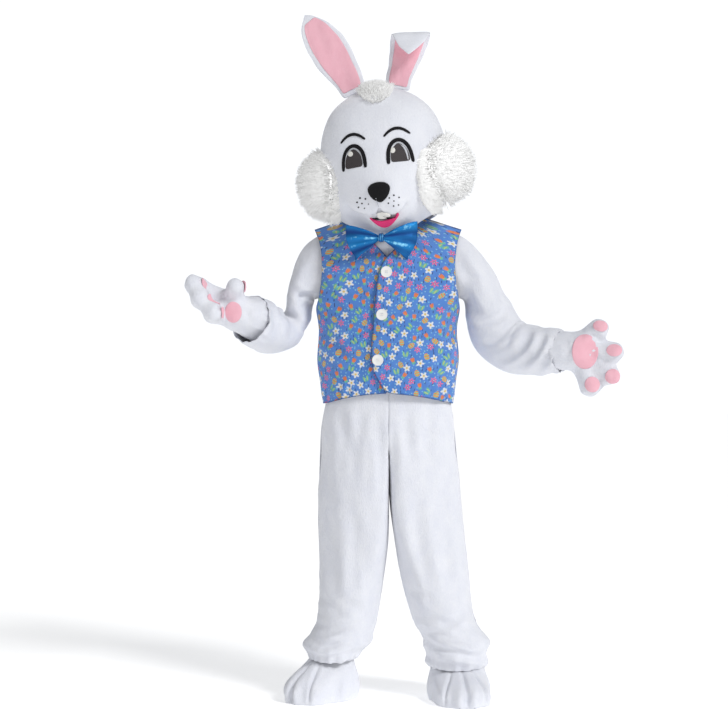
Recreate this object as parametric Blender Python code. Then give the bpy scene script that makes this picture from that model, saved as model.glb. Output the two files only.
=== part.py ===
"""A plush rabbit costume as it is worn: hollow head, jumpsuit, waistcoat, bow, mitts and foot covers.

Sizes are millimetres in the tables and metres in the meshes. +X is the wearer's left, -Y is the front,
+Z is up, and the origin lies between the wearer's shoulders, which carry the garment.
"""

import math

import bmesh
import bpy
import numpy as np
from mathutils import Vector
from mathutils.bvhtree import BVHTree

MM = 0.001
SEAM = 0.3  # gap between two pieces that are sewn together
PLUSH = 3.0  # wall of the plush
PRINT = 1.5  # wall of the waistcoat cloth
LAME = 1.2  # wall of the shiny bow cloth
FELT = 1.0  # appliques
SHELL = 7.0  # foam-lined plush of the head
MID_X = 6.0  # the body's middle, a little to the wearer's left of the origin
FLOOR = -1420.0

COLOURS = {
    "plush_white": ((0.84, 0.85, 0.90), 0.9, 0.0),
    "fur_white": ((0.88, 0.88, 0.87), 0.95, 0.0),
    "plush_pink": ((0.90, 0.55, 0.64), 0.85, 0.0),
    "print_blue": ((0.12, 0.26, 0.62), 0.75, 0.0),
    "lame_blue": ((0.02, 0.30, 0.66), 0.3, 0.6),
    "thread_black": ((0.01, 0.01, 0.012), 0.6, 0.0),
    "mesh_dark": ((0.03, 0.028, 0.03), 0.7, 0.0),
    "nose_black": ((0.01, 0.01, 0.01), 0.6, 0.0),
    "tongue_pink": ((0.85, 0.10, 0.30), 0.7, 0.0),
    "tooth_white": ((0.85, 0.84, 0.80), 0.5, 0.0),
    "button_white": ((0.85, 0.85, 0.84), 0.35, 0.0),
    "sole_grey": ((0.45, 0.45, 0.47), 0.9, 0.0),
}


# Shared tools


def clear_scene():
    for old in list(bpy.data.objects):
        bpy.data.objects.remove(old)


def material(name):
    found = bpy.data.materials.get(name)
    if found:
        return found
    made = bpy.data.materials.new(name)
    made.use_nodes = True
    shader = made.node_tree.nodes["Principled BSDF"]
    colour, roughness, metallic = COLOURS[name]
    shader.inputs["Base Color"].default_value = (*colour, 1)
    shader.inputs["Roughness"].default_value = roughness
    shader.inputs["Metallic"].default_value = metallic
    return made


def add_object(name, mesh, finish):
    mesh.materials.clear()
    mesh.materials.append(material(finish))
    made = bpy.data.objects.new(name, mesh)
    bpy.context.scene.collection.objects.link(made)
    mesh.shade_smooth()
    mesh.set_sharp_from_angle(angle=math.radians(50))
    return made


def lookup(table, at):
    """The table's other columns at a value of its first column, on a smooth curve through the rows."""
    rows = np.array(sorted(table), float)
    keys, values = rows[:, 0], rows[:, 1:]
    slopes = np.gradient(values, keys, axis=0)
    at = float(np.clip(at, keys[0], keys[-1]))
    k = int(np.clip(np.searchsorted(keys, at) - 1, 0, len(keys) - 2))
    step = keys[k + 1] - keys[k]
    t = (at - keys[k]) / step
    return (
        (1 + 2 * t) * (1 - t) ** 2 * values[k]
        + t * (1 - t) ** 2 * step * slopes[k]
        + t * t * (3 - 2 * t) * values[k + 1]
        + t * t * (t - 1) * step * slopes[k + 1]
    )


def along(points, count):
    """Points evenly spaced on a smooth curve through the given ones."""
    points = np.array(points, float)
    reach = np.r_[0, np.cumsum(np.linalg.norm(np.diff(points, axis=0), axis=1))]
    table = [(r, *p) for r, p in zip(reach, points)]
    fine = np.array([lookup(table, r) for r in np.linspace(0, reach[-1], 40 * len(points))])
    length = np.r_[0, np.cumsum(np.linalg.norm(np.diff(fine, axis=0), axis=1))]
    even = np.linspace(0, length[-1], count)
    return np.stack([np.interp(even, length, fine[:, k]) for k in range(3)], axis=1)


def ease(t):
    t = min(max(t, 0.0), 1.0)
    return t * t * (3 - 2 * t)


def welded(grid, cut):
    """Points of a grid with equal ones made one, and its triangles, leaving out the cells that cut names."""
    rows, cols = grid.shape[:2]
    index, points, order = {}, [], np.zeros((rows, cols), int)
    for i in range(rows):
        for j in range(cols):
            key = tuple(np.round(grid[i, j], 3))
            if key not in index:
                index[key] = len(points)
                points.append(grid[i, j])
            order[i, j] = index[key]
    triangles = []
    for i in range(rows - 1):
        for j in range(cols - 1):
            if cut and cut(i, j):
                continue
            a, b, c, d = order[i, j], order[i + 1, j], order[i + 1, j + 1], order[i, j + 1]
            triangles += [t for t in ((a, b, c), (a, c, d)) if len(set(t)) == 3]
    return np.array(points), triangles, order


def normals_of(points, triangles):
    normals = np.zeros_like(points)
    for a, b, c in triangles:
        face = np.cross(points[b] - points[a], points[c] - points[a])
        for k in (a, b, c):
            normals[k] += face
    return normals / np.maximum(np.linalg.norm(normals, axis=1, keepdims=True), 1e-9)


def slab(name, grid, thickness, finish, inside=None, cut=None, seams_x=(), seams_y=(), inner=None, low=-1e9):
    """One closed wall. The grid is its outer face in mm, and the wall grows towards the point inside.

    A point on a seam plane keeps its wall in that plane, so that two pieces meet without crossing.
    The planes across x count only above the height low.
    """
    grid = np.array(grid, float)
    points, triangles, order = welded(grid, cut)
    normals = normals_of(points, triangles)
    inside = points.mean(axis=0) if inside is None else np.array(inside, float)
    if np.einsum("ij,ij->i", normals, points - inside).sum() < 0:
        triangles = [(a, c, b) for a, b, c in triangles]
        normals = -normals
    for axis, planes in ((0, seams_x), (1, seams_y)):
        for plane in planes:
            lowest = low if axis == 0 else -1e9
            on = (np.abs(points[:, axis] - plane) < 0.6 * SEAM) & (points[:, 2] > lowest)
            normals[on, axis] = 0
    normals /= np.maximum(np.linalg.norm(normals, axis=1, keepdims=True), 1e-9)
    if inner is None:
        depth = thickness if np.isscalar(thickness) else np.array(thickness)[:, None]
        inner_points = points - normals * depth
    else:
        inner = np.array(inner, float)
        inner_points = np.zeros_like(points)
        for i in range(grid.shape[0]):
            for j in range(grid.shape[1]):
                inner_points[order[i, j]] = inner[i, j]
    used = sorted({k for t in triangles for k in t})
    count = len(points)
    edges = {(t[k], t[(k + 1) % 3]) for t in triangles for k in range(3)}
    rim = [(a, b) for a, b in edges if (b, a) not in edges]
    bm = bmesh.new()
    verts = {k: bm.verts.new(points[k] * MM) for k in used}
    verts.update({k + count: bm.verts.new(inner_points[k] * MM) for k in used})
    for a, b, c in triangles:
        bm.faces.new((verts[a], verts[b], verts[c]))
        bm.faces.new((verts[a + count], verts[c + count], verts[b + count]))
    for a, b in sorted(rim):
        bm.faces.new((verts[b], verts[a], verts[a + count]))
        bm.faces.new((verts[b], verts[a + count], verts[b + count]))
    bmesh.ops.recalc_face_normals(bm, faces=bm.faces)
    if bm.calc_volume(signed=True) < 0:
        bmesh.ops.reverse_faces(bm, faces=bm.faces)
    mesh = bpy.data.meshes.new(name)
    bm.to_mesh(mesh)
    bm.free()
    return add_object(name, mesh, finish), BVHTree.FromPolygons(
        [Vector(p) for p in points], triangles
    )


def lifted(points, ways, skin, gap):
    """A grid of points on a skin, moved out along its ways until its flat facets clear the skin by gap."""
    points, ways = np.array(points, float), np.array(ways, float)
    rise = np.full(points.shape[:2], gap)
    reach = 8.0
    steps = [(a / 8, b / 8) for a in range(9) for b in range(9 - a)]
    for _ in range(4):
        placed = points + ways * rise[..., None]
        more = np.zeros_like(rise)
        for i in range(points.shape[0] - 1):
            for j in range(points.shape[1] - 1):
                cell = ((i, j), (i + 1, j), (i + 1, j + 1), (i, j + 1))
                for corners in ((cell[0], cell[1], cell[2]), (cell[0], cell[2], cell[3])):
                    lack = 0.0
                    for a, b in steps:
                        share = (1 - a - b, a, b)
                        spot = sum(s * placed[c] for s, c in zip(share, corners))
                        way = Vector(sum(s * ways[c] for s, c in zip(share, corners))).normalized()
                        _, _, _, far = skin.ray_cast(Vector(spot) + way * reach, -way, 2 * reach)
                        if far is not None:
                            lack = max(lack, gap - (far - reach))
                    for c in corners:
                        more[c] = max(more[c], lack)
        rise += more
        if more.max() < 0.02:
            break
    return points + ways * rise[..., None]


def disc_grid(half_u, half_v, count, angle=0.0):
    """An even grid over an ellipse, as pairs of offsets from its centre."""
    turn = math.radians(angle)
    rows = []
    for v in np.linspace(-1, 1, count):
        row = []
        for u in np.linspace(-1, 1, count):
            x = half_u * u * math.sqrt(1 - v * v / 2)
            y = half_v * v * math.sqrt(1 - u * u / 2)
            row.append((x * math.cos(turn) - y * math.sin(turn), x * math.sin(turn) + y * math.cos(turn)))
        rows.append(row)
    return np.array(rows)


# The jumpsuit: two fronts and two backs from shoulder to ankle, and two sleeves

# height, half width, front depth, back depth of the body
SUIT_BODY = [
    (-200, 208, 126, 118),
    (-330, 192, 126, 112),
    (-450, 188, 124, 112),
    (-525, 190, 122, 116),
    (-562, 203, 127, 122),
    (-610, 207, 127, 124),
    (-677, 210, 122, 124),
]
CROTCH = -677.0
# height, inner edge, outer edge, front depth, back depth; the edges are real x
LEGS = {
    "right": [
        (-677, 5.7, -204, 122, 124),
        (-790, 9, -211, 116, 122),
        (-900, 10, -211, 112, 116),
        (-969, 8, -207, 108, 112),
        (-1060, -8, -206, 104, 108),
        (-1123, -15, -206, 102, 106),
        (-1180, -26, -213, 104, 106),
        (-1222, -36, -232, 108, 108),
        (-1250, -44, -259, 114, 108),
        (-1276, -66, -252, 106, 102),
        (-1300, -90, -240, 92, 92),
    ],
    "left": [
        (-677, 6.3, 216, 122, 124),
        (-790, 10.6, 230, 116, 122),
        (-900, 14, 240, 112, 116),
        (-969, 31, 248, 108, 112),
        (-1060, 46, 258, 104, 108),
        (-1123, 60, 263, 102, 106),
        (-1180, 78, 272, 104, 106),
        (-1216, 98, 296, 108, 108),
        (-1246, 112, 323, 112, 108),
        (-1280, 117, 309, 108, 102),
        (-1306, 122, 314, 102, 98),
        (-1326, 130, 308, 94, 94),
    ],
}
# heights of the leg rows over the hem, close together where the cloth slouches
LEG_STEPS = (0, 13, 26, 40, 54, 69, 84, 100, 118, 145, 205, 290, 390, 500)
LEG_ROWS = len(LEG_STEPS) + 1
BODY_ROWS = 5
YOKE_ROWS = 6
INNER_COLUMNS = 2
OUTER_COLUMNS = 6
# side, place across the panel at the top and at the bottom, top, bottom, depth, width of each long fold
TROUSER_FOLDS = [
    ("right", 0.62, 0.55, -560, -1050, 9, 0.09),
    ("right", 0.86, 0.80, -640, -1150, -7, 0.10),
    ("left", 0.62, 0.72, -545, -1120, -10, 0.07),
    ("left", 0.48, 0.50, -600, -1000, 7, 0.09),
    ("left", 0.88, 0.86, -700, -1180, 6, 0.08),
]
# foot of the slouched zone, how far up it goes, wave length, depth and tilt of its folds
ANKLE_FOLDS = {"right": (-1300, 150, 54, 8, 20), "left": (-1326, 170, 52, 9, -26)}

# the yoke's edge from the chest to the neck, and the armhole from the armpit to the shoulder tip
SUIT_NECK = [(0, -126, -200), (0, -124, -120), (0, -112, -58), (38, -98, -28), (72, -52, 24), (86, 0, 60.2)]
SUIT_NECK_BACK = [(0, 118, -200), (0, 118, -80), (0, 104, 4), (38, 80, 23), (70, 42, 42), (86, 0, 60.2)]
SUIT_ARMHOLE = [(208, 0, -200), (184, -50, -176), (172, -64, -110), (180, -48, -34), (200, 0, 15)]


def yoke_rows(neck, armhole, side, columns, rows):
    """Rows from the chest up to the shoulder seam, between the front edge and the armhole."""
    edge, arm = along(neck, rows + 1), along(armhole, rows + 1)
    grid = []
    for e, a in zip(edge, arm):
        row = []
        for s in np.linspace(0, 1, columns + 1):
            turn = s * math.pi / 2
            x = e[0] + (a[0] - e[0]) * math.sin(turn)
            y = a[1] + (e[1] - a[1]) * math.cos(turn)
            z = e[2] + (a[2] - e[2]) * math.sin(turn)
            row.append((MID_X + side * x, y, z))
        grid.append(row)
    return grid


def keep_seams(row, side, depth_sign, middle=True):
    """Moves the two ends of a row half a seam off the planes where the panels meet."""
    row = np.array(row, float)
    half = SEAM / 2
    row[:, 1] = depth_sign * np.maximum(depth_sign * row[:, 1], half)
    if middle:
        off = side * (row[:, 0] - MID_X)
        row[:, 0] = MID_X + side * np.maximum(off, half)
    return row


def trouser_fold(side_name, place, z):
    """How far the cloth stands out at a place across the panel and a height."""
    out = 0.0
    for side, top_at, foot_at, top, foot, depth, width in TROUSER_FOLDS:
        if side != side_name or not foot < z < top:
            continue
        t = (top - z) / (top - foot)
        at = top_at + (foot_at - top_at) * t
        out += depth * math.sin(math.pi * t) ** 0.6 * math.exp(-(((place - at) / width) ** 2))
    return out


def ankle_wave(side_name, turn, z):
    foot, reach, wave, depth, tilt = ANKLE_FOLDS[side_name]
    strength = ease(1 - (z - foot) / reach) * ease((z - foot + 8) / 20)
    phase = 2 * math.pi * (z + tilt * math.cos(turn)) / wave
    return strength * depth * math.sin(phase) * (0.65 + 0.35 * math.sin(turn * 1.5 + 0.6))


def leg_row(side_name, side, depth_sign, z):
    """One row of a leg panel, from the inseam round the front or back to the outer seam."""
    inner, outer, front, back = lookup(LEGS[side_name], z)
    depth = front if depth_sign < 0 else back
    centre, half = (inner + outer) / 2, abs(outer - inner) / 2
    round_share = ease((CROTCH - 120 - z) / 400)
    corner = INNER_COLUMNS / (INNER_COLUMNS + OUTER_COLUMNS) * 1.35
    row = []
    for k in range(INNER_COLUMNS + OUTER_COLUMNS + 1):
        if k <= INNER_COLUMNS:
            place = corner * k / INNER_COLUMNS
            flat = (-1.0, k / INNER_COLUMNS)
        else:
            s = (k - INNER_COLUMNS) / OUTER_COLUMNS
            place = corner + (1 - corner) * s
            flat = (2 * math.sin(s * math.pi / 2) - 1, math.cos(s * math.pi / 2))
        turn = place * math.pi
        across = flat[0] + (-math.cos(turn) - flat[0]) * round_share
        deep = flat[1] + (math.sin(turn) - flat[1]) * round_share
        out = trouser_fold(side_name, place, z) + ankle_wave(side_name, turn, z)
        x = centre + side * across * (half + out * abs(across) * round_share)
        row.append((x, depth_sign * max(deep, 0.0) * (depth + out), z))
    return row


def body_row(side_name, side, depth_sign, z):
    """One row of a panel above the legs, where the inner columns are cut away."""
    half, front, back = lookup(SUIT_BODY, z)
    depth = front if depth_sign < 0 else back
    row = [(MID_X, depth_sign * depth * k / INNER_COLUMNS, z) for k in range(INNER_COLUMNS)]
    for s in np.linspace(0, 1, OUTER_COLUMNS + 1):
        turn = s * math.pi / 2
        out = trouser_fold(side_name, 0.36 + 0.64 * s, z) * math.cos(turn)
        row.append((MID_X + side * half * math.sin(turn), depth_sign * math.cos(turn) * (depth + out), z))
    return row


def suit_panel(side_name, depth_sign):
    side = 1 if side_name == "left" else -1
    foot = LEGS[side_name][-1][0]
    grid = []
    for z in [foot + step for step in LEG_STEPS] + [CROTCH]:
        row = leg_row(side_name, side, depth_sign, z)
        grid.append(keep_seams(row, side, depth_sign, middle=False))
    join = grid.pop()
    top = np.array(body_row(side_name, side, depth_sign, CROTCH))
    join[:, 0] = np.where(np.arange(len(join)) <= INNER_COLUMNS, MID_X + side * SEAM / 2, top[:, 0])
    join[:, 1] = top[:, 1]
    grid.append(keep_seams(join, side, depth_sign))
    for z in np.linspace(CROTCH, SUIT_BODY[0][0], BODY_ROWS + 1)[1:-1]:
        grid.append(keep_seams(body_row(side_name, side, depth_sign, z), side, depth_sign))
    neck = SUIT_NECK if depth_sign < 0 else SUIT_NECK_BACK
    armhole = [(x, -depth_sign * y, z) for x, y, z in SUIT_ARMHOLE]
    for row in yoke_rows(neck, armhole, side, OUTER_COLUMNS, YOKE_ROWS):
        spare = [(MID_X, row[0][1] * k / INNER_COLUMNS, row[0][2]) for k in range(INNER_COLUMNS)]
        grid.append(keep_seams(spare + row, side, depth_sign))
    where = "front" if depth_sign < 0 else "back"
    slab(
        f"suit_{where}_{side_name}",
        grid,
        PLUSH,
        "plush_white",
        inside=(side * 100, -depth_sign * 30, -600),
        cut=lambda i, j: j < INNER_COLUMNS and i >= LEG_ROWS - 1,
        seams_x=(MID_X - SEAM / 2, MID_X + SEAM / 2),
        seams_y=(-SEAM / 2, SEAM / 2),
        low=CROTCH + 5,
    )


# foot of the upper arm at the armpit, elbow corner, wrist and bend radius of each middle line
SLEEVES = {
    "right": ((-266, 4, -214), (-270, 48, -352), (-408, -132, -262), 76),
    "left": ((300, 2, -190), (354, 22, -352), (528, -104, -358), 108),
}
# place along the sleeve, half size towards the body, half size front to back
SLEEVE_SIZES = {
    "right": [(0, 38, 72), (0.25, 48, 70), (0.5, 62, 68), (0.72, 80, 77), (1, 84, 76)],
    "left": [(0, 64, 74), (0.25, 84, 82), (0.5, 86, 84), (0.75, 78, 78), (1, 66, 68)],
}
# the armpit, where the rings turn from the armhole to the arm, and how far they turn
ARMPIT = (220.0, -214.0)
SHOULDER_TURN = {"right": 90.0, "left": 72.0}
# start along the sleeve, end, folds, depth and tilt of its slouched stretch
SLEEVE_FOLDS = {"right": (0.52, 0.99, 3, 9, 0.6), "left": (0.36, 0.99, 4, 10, -0.9)}
SLEEVE_ROWS = 13
BODY_CLEAR = 7.0


def off_the_body(point, side):
    """Moves a sleeve point outwards until it is clear of the waistcoat."""
    x, y, z = point
    if z > VEST_ARMHOLE[0][2] + 24:
        return point
    half, front, back = lookup(VEST_BODY, z)
    depth = (front if y < 0 else back) + BODY_CLEAR
    if abs(y) >= depth:
        return point
    least = (half + BODY_CLEAR) * math.sqrt(1 - (y / depth) ** 2)
    return np.array((MID_X + side * max(side * (x - MID_X), least), y, z))


def filleted(start, corner, end, radius, count):
    """Evenly spaced points on two straight runs with a round bend between them."""
    start, corner, end = (np.array(p, float) for p in (start, corner, end))
    first = (corner - start) / np.linalg.norm(corner - start)
    last = (end - corner) / np.linalg.norm(end - corner)
    bend = math.acos(float(first @ last))
    trim = radius * math.tan(bend / 2)
    side = last - first * (first @ last)
    side /= np.linalg.norm(side)
    centre = corner - first * trim + side * radius
    points = [start]
    for t in np.linspace(0, bend, 24):
        points.append(centre + radius * (first * math.sin(t) - side * math.cos(t)))
    points.append(end)
    points = np.array(points)
    length = np.r_[0, np.cumsum(np.linalg.norm(np.diff(points, axis=0), axis=1))]
    even = np.linspace(0, length[-1], count)
    return np.stack([np.interp(even, length, points[:, k]) for k in range(3)], axis=1)


def sleeve(side_name):
    side = 1 if side_name == "left" else -1
    path = filleted(*SLEEVES[side_name], SLEEVE_ROWS)
    tangents = np.gradient(path, axis=0)
    tangents /= np.linalg.norm(tangents, axis=1, keepdims=True)
    front = along(SUIT_ARMHOLE, YOKE_ROWS + 1)
    back = front[::-1][1:] * (1, -1, 1)
    armhole = np.vstack([front, back])
    armhole[:, 0] = MID_X + side * (armhole[:, 0] + 0.6)
    armhole[:, 1] *= 0.99
    grid = [armhole]
    first, last, folds, depth, tilt = SLEEVE_FOLDS[side_name]
    for k, (centre, forward) in enumerate(zip(path, tangents)):
        t = k / (SLEEVE_ROWS - 1)
        towards, ahead_size = lookup(SLEEVE_SIZES[side_name], t)
        down = np.array((-0.7 * side, 0, -1.0))
        down -= forward * (down @ forward)
        down /= np.linalg.norm(down)
        ahead = np.cross(down, forward) * side
        slack = ease((t - first) / 0.12) * ease((last - t) / 0.08)
        ring = []
        for c in range(len(armhole)):
            turn = 2 * math.pi * c / (len(armhole) - 1)
            wave = math.sin(2 * math.pi * folds * (t + 0.05 * tilt * math.cos(turn)) / (last - first))
            out = slack * depth * wave * (0.7 - 0.3 * math.cos(turn))
            spot = down * math.cos(turn) * (towards + out) + ahead * math.sin(turn) * (ahead_size + out)
            ring.append(centre + spot)
        grid.append(np.array(ring))
    pivot = np.array((MID_X + side * ARMPIT[0], 0, ARMPIT[1]))
    fan = []
    for share in (0.08, 0.34, 0.66):
        lean = math.radians(SHOULDER_TURN[side_name] * share)
        up = np.array((side * math.sin(lean), 0, math.cos(lean)))
        ring = []
        for start, end in zip(armhole, grid[1]):
            reach = start[2] - pivot[2]
            goal = np.linalg.norm((end - pivot)[[0, 2]])
            far = goal + (reach - goal) * (1 - share) ** 2
            ring.append(pivot + up * far + (0, start[1] + (end[1] - start[1]) * share, 0))
        fan.append(np.array(ring))
    grid[1:1] = fan
    grid = grid[:2] + [np.array([off_the_body(p, side) for p in ring]) for ring in grid[2:]]
    for ring in grid:
        ring[-1] = ring[0]
    slab(f"sleeve_{side_name}", grid, PLUSH, "plush_white")


# The waistcoat: two fronts that overlap, a back, and three buttons

# height, half width, front depth, back depth
VEST_BODY = [
    (-228, 224, 148, 138),
    (-270, 213, 148, 134),
    (-320, 212, 148, 132),
    (-375, 219, 148, 134),
    (-440, 210, 146, 134),
    (-525, 199, 140, 132),
]
VEST_CHEST = -228.0
VEST_ARMHOLE = [(224, 0, -228), (212, -62, -204), (202, -80, -124), (206, -54, -36), (226, 0, 16)]
# the front edges at heights below the chest: height, edge x from the middle
OVER_EDGE = [(-486, -10), (-445, -34), (-406, -52), (-376, -54), (-316, -51), (-268, -47), (-228, -43)]
OVER_NECK = [
    (-43, -148, -228),
    (-36, -148, -150),
    (-28, -147, -98),
    (-8, -141, -74),
    (44, -110, -30),
    (84, -56, 22),
    (108, 0, 54),
]
UNDER_EDGE = [(-486, -9), (-460, 10), (-425, 20), (-390, 22), (-228, 6)]
UNDER_NECK = [(6, -148, -228), (14, -146, -92), (46, -110, -34), (86, -56, 22), (108, 0, 54)]
VEST_NECK_BACK = [(0, 138, -228), (0, 134, -80), (0, 112, 20), (44, 84, 38), (86, 44, 50), (108, 0, 54)]
HEM_MIDDLE = -486.0
HEM_SIDE = -518.0
VEST_ROWS = 7
VEST_COLUMNS = 7
OVERLAP_LIFT = 3.6  # how far the upper front stands out
UNDERLAP = 4.6  # how far the lower front lies in
# place across the front, depth, width and top of each gather that rises from the hem
HEM_GATHERS = [(0.74, -5, 0.05, -330), (0.84, 4, 0.05, -380), (0.92, -6, 0.045, -300), (0.60, 3, 0.06, -400)]


def gather(s, z):
    out = 0.0
    for at, depth, width, top in HEM_GATHERS:
        out += depth * ease((top - z) / 120) * math.exp(-(((s - at) / width) ** 2))
    return out


def vest_row(v, edge, side, depth_sign, lift):
    """One row below the armpits; v runs from the hem to the chest."""
    row = []
    z_edge = HEM_MIDDLE + (VEST_CHEST - HEM_MIDDLE) * v
    start = lookup(edge, z_edge)[0] if edge else 0.0
    for s in np.linspace(0, 1, VEST_COLUMNS + 1):
        hem = HEM_MIDDLE + (HEM_SIDE - HEM_MIDDLE) * ease(s * 1.1)
        z = hem + (VEST_CHEST - hem) * v
        half, front, back = lookup(VEST_BODY, z)
        depth = (front if depth_sign < 0 else back) + lift * (1 - ease((s - 0.35) / 0.5))
        low = math.asin(np.clip(start / half, -1, 1))
        turn = low + (math.pi / 2 - low) * s
        out = gather(s, z)
        x = (half + out) * math.sin(turn)
        row.append((MID_X + side * x, depth_sign * math.cos(turn) * (depth + out), z))
    return row


def vest_panel(side, depth_sign, edge, neck, lift):
    grid = [vest_row(v, edge, side, depth_sign, lift) for v in np.linspace(0, 1, VEST_ROWS + 1)[:-1]]
    armhole = [(x, -depth_sign * y, z) for x, y, z in VEST_ARMHOLE]
    yoke = np.array(yoke_rows(neck, armhole, side, VEST_COLUMNS, YOKE_ROWS))
    places = np.linspace(0, 1, VEST_COLUMNS + 1)
    climb = np.linspace(1, 0, YOKE_ROWS + 1)
    for r, share in enumerate(climb):
        fade = np.array([1 - ease((s - 0.35) / 0.5) for s in places])
        yoke[r, :, 1] += depth_sign * lift * ease(share * 2) * fade
    grid += list(yoke)
    middle = depth_sign > 0
    grid = [keep_seams(row, side, depth_sign, middle=middle) for row in grid]
    return grid


def vest():
    skins = {}
    for name, side, edge, neck, lift in (
        ("vest_front_left", 1, OVER_EDGE, OVER_NECK, OVERLAP_LIFT),
        ("vest_front_right", -1, UNDER_EDGE, UNDER_NECK, -UNDERLAP),
    ):
        if side < 0:
            edge = [(z, -x) for z, x in edge]
            neck = [(-x if k < 2 else x, y, z) for k, (x, y, z) in enumerate(neck)]
        grid = vest_panel(side, -1, edge, neck, lift)
        _, skins[name] = slab(
            name, grid, PRINT, "print_blue", inside=(0, 60, -250), seams_y=(-SEAM / 2,)
        )
    left = vest_panel(1, 1, None, VEST_NECK_BACK, 0.0)
    right = vest_panel(-1, 1, None, VEST_NECK_BACK, 0.0)
    grid = []
    for a, b in zip(right, left):
        a, b = a[::-1].copy(), b.copy()
        if b[0, 0] - a[-1, 0] < 1.0:  # below the neck the two halves are one cloth
            a[-1, 0] = b[0, 0] = MID_X
        grid.append(np.vstack([a, b]))
    parted = [row[VEST_COLUMNS + 1][0] - row[VEST_COLUMNS][0] > 1.0 for row in grid]
    slab(
        "vest_back",
        grid,
        PRINT,
        "print_blue",
        inside=(0, -60, -250),
        cut=lambda i, j: j == VEST_COLUMNS and parted[i],
        seams_y=(SEAM / 2,),
    )
    return skins["vest_front_left"]


BUTTON_RADIUS = 17.0
BUTTON_THICK = 4.0
BUTTONS = [(-2, -122), (-14, -251), (-26, -385)]  # x and height
BUTTON_SIDES = 14
BUTTON_HOLE = 1.6
BUTTON_PITCH = 7.0


def on_front(skin, x, z, out):
    """The point out from the cloth's outer face, straight ahead of a place on the front."""
    hit, normal, _, _ = skin.ray_cast(Vector((x, -900.0, z)), Vector((0, 1, 0)))
    if hit is None:
        return None, None
    if normal.y > 0:
        normal = -normal
    return np.array(hit + normal * out), np.array(normal)


def turned(name, profile, sides, finish):
    """A closed turned solid about +Z from a profile of (radius, height), with flat ends."""
    bm = bmesh.new()
    rings = []
    for radius, height in profile:
        turns = [2 * math.pi * k / sides for k in range(sides)]
        ring = [(radius * math.cos(t) * MM, radius * math.sin(t) * MM, height * MM) for t in turns]
        rings.append([bm.verts.new(p) for p in ring])
    bm.faces.new(rings[0][::-1])
    bm.faces.new(rings[-1])
    for low, high in zip(rings, rings[1:]):
        for k in range(sides):
            n = (k + 1) % sides
            bm.faces.new((low[k], low[n], high[n], high[k]))
    bmesh.ops.recalc_face_normals(bm, faces=bm.faces)
    mesh = bpy.data.meshes.new(name)
    bm.to_mesh(mesh)
    bm.free()
    return add_object(name, mesh, finish)


def buttons(skin):
    """Two-hole buttons with a raised rim, each sewn flat on the upper front."""
    rim, dish = BUTTON_RADIUS, BUTTON_RADIUS * 0.72
    profile = [
        (rim * 0.86, 0),
        (rim, BUTTON_THICK * 0.45),
        (rim * 0.93, BUTTON_THICK),
        (dish, BUTTON_THICK * 0.95),
        (dish * 0.85, BUTTON_THICK * 0.6),
    ]
    for number, (x, z) in enumerate(BUTTONS, 1):
        middle, normal = on_front(skin, x, z, 0.0)
        clear = 0.0
        for k in range(BUTTON_SIDES):
            turn = 2 * math.pi * k / BUTTON_SIDES
            edge, _ = on_front(skin, x + rim * math.cos(turn), z + rim * math.sin(turn), 0.0)
            if edge is not None:
                clear = max(clear, float((edge - middle) @ normal))
        made = turned(f"button_{number}", profile, BUTTON_SIDES, "button_white")
        made.location = (middle + normal * (clear + 0.5)) * MM
        made.rotation_mode = "QUATERNION"
        made.rotation_quaternion = Vector(normal).to_track_quat("Z", "Y")
        for n, offset in enumerate((-BUTTON_PITCH / 2, BUTTON_PITCH / 2)):
            cutter = turned(
                f"hole_{number}_{n}", [(BUTTON_HOLE, -5), (BUTTON_HOLE, 10)], 6, "button_white"
            )
            cutter.parent = made
            cutter.location = (offset * MM, 0, 0)
            cutter.hide_render = True
            cutter.display_type = "WIRE"
            drill = made.modifiers.new(f"hole_{n}", "BOOLEAN")
            drill.operation = "DIFFERENCE"
            drill.solver = "EXACT"
            drill.object = cutter


# The bow: two folded wings of shiny cloth and the band that pinches them

BOW_MIDDLE = (-17, -166, -21)
# side, wing length, tilt in degrees, height at the knot and at the end, loop depth
BOW_WINGS = {"left": (1, 109, 4, 12, 56, 16), "right": (-1, 106, 8, 12, 51, 16)}
BOW_PLEATS = 4
BOW_LEAN = 0.28  # its foot lies nearer the chest than its top
BOW_DRAPE = 16.0  # how far its ends fall back round the chest
BOW_COLUMNS = 11
BOW_ROWS = 10


def bow_wing(side_name):
    """A loop of cloth that leaves the knot, folds round at its end and comes back behind itself."""
    side, length, tilt, low, high, deep = BOW_WINGS[side_name]
    lean = math.radians(tilt)
    grid = []
    for r in range(BOW_ROWS + 1):
        up = 2 * r / BOW_ROWS - 1
        row = []
        for c in range(BOW_COLUMNS + 1):
            u = 2 * c / BOW_COLUMNS - 1
            run = 1 - abs(u) ** 2.2
            half = low / 2 + (high - low / 2) * min(run * 1.1, 1.0) ** 0.8
            x = 4 + (length - 4) * run * (1 - 0.10 * up * up * (1 - run))
            pleat = math.cos(math.pi * BOW_PLEATS * up) * 4.5 * math.sin(math.pi * min(run * 0.9 + 0.1, 1))
            loop = deep * (0.25 + 0.75 * run) * (u * (1.35 - 0.35 * u * u))
            y = loop + pleat * (0.5 - 0.5 * u) - 3 * up * up
            z = up * half - x * math.tan(lean)
            y = y * 0.62 - BOW_LEAN * z + BOW_DRAPE * run * run
            row.append((BOW_MIDDLE[0] + side * x, BOW_MIDDLE[1] + y, BOW_MIDDLE[2] + z))
        grid.append(row)
    behind = (BOW_MIDDLE[0] + side * 60, BOW_MIDDLE[1], BOW_MIDDLE[2])
    slab(f"bow_wing_{side_name}", grid, LAME, "lame_blue", inside=behind)


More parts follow.
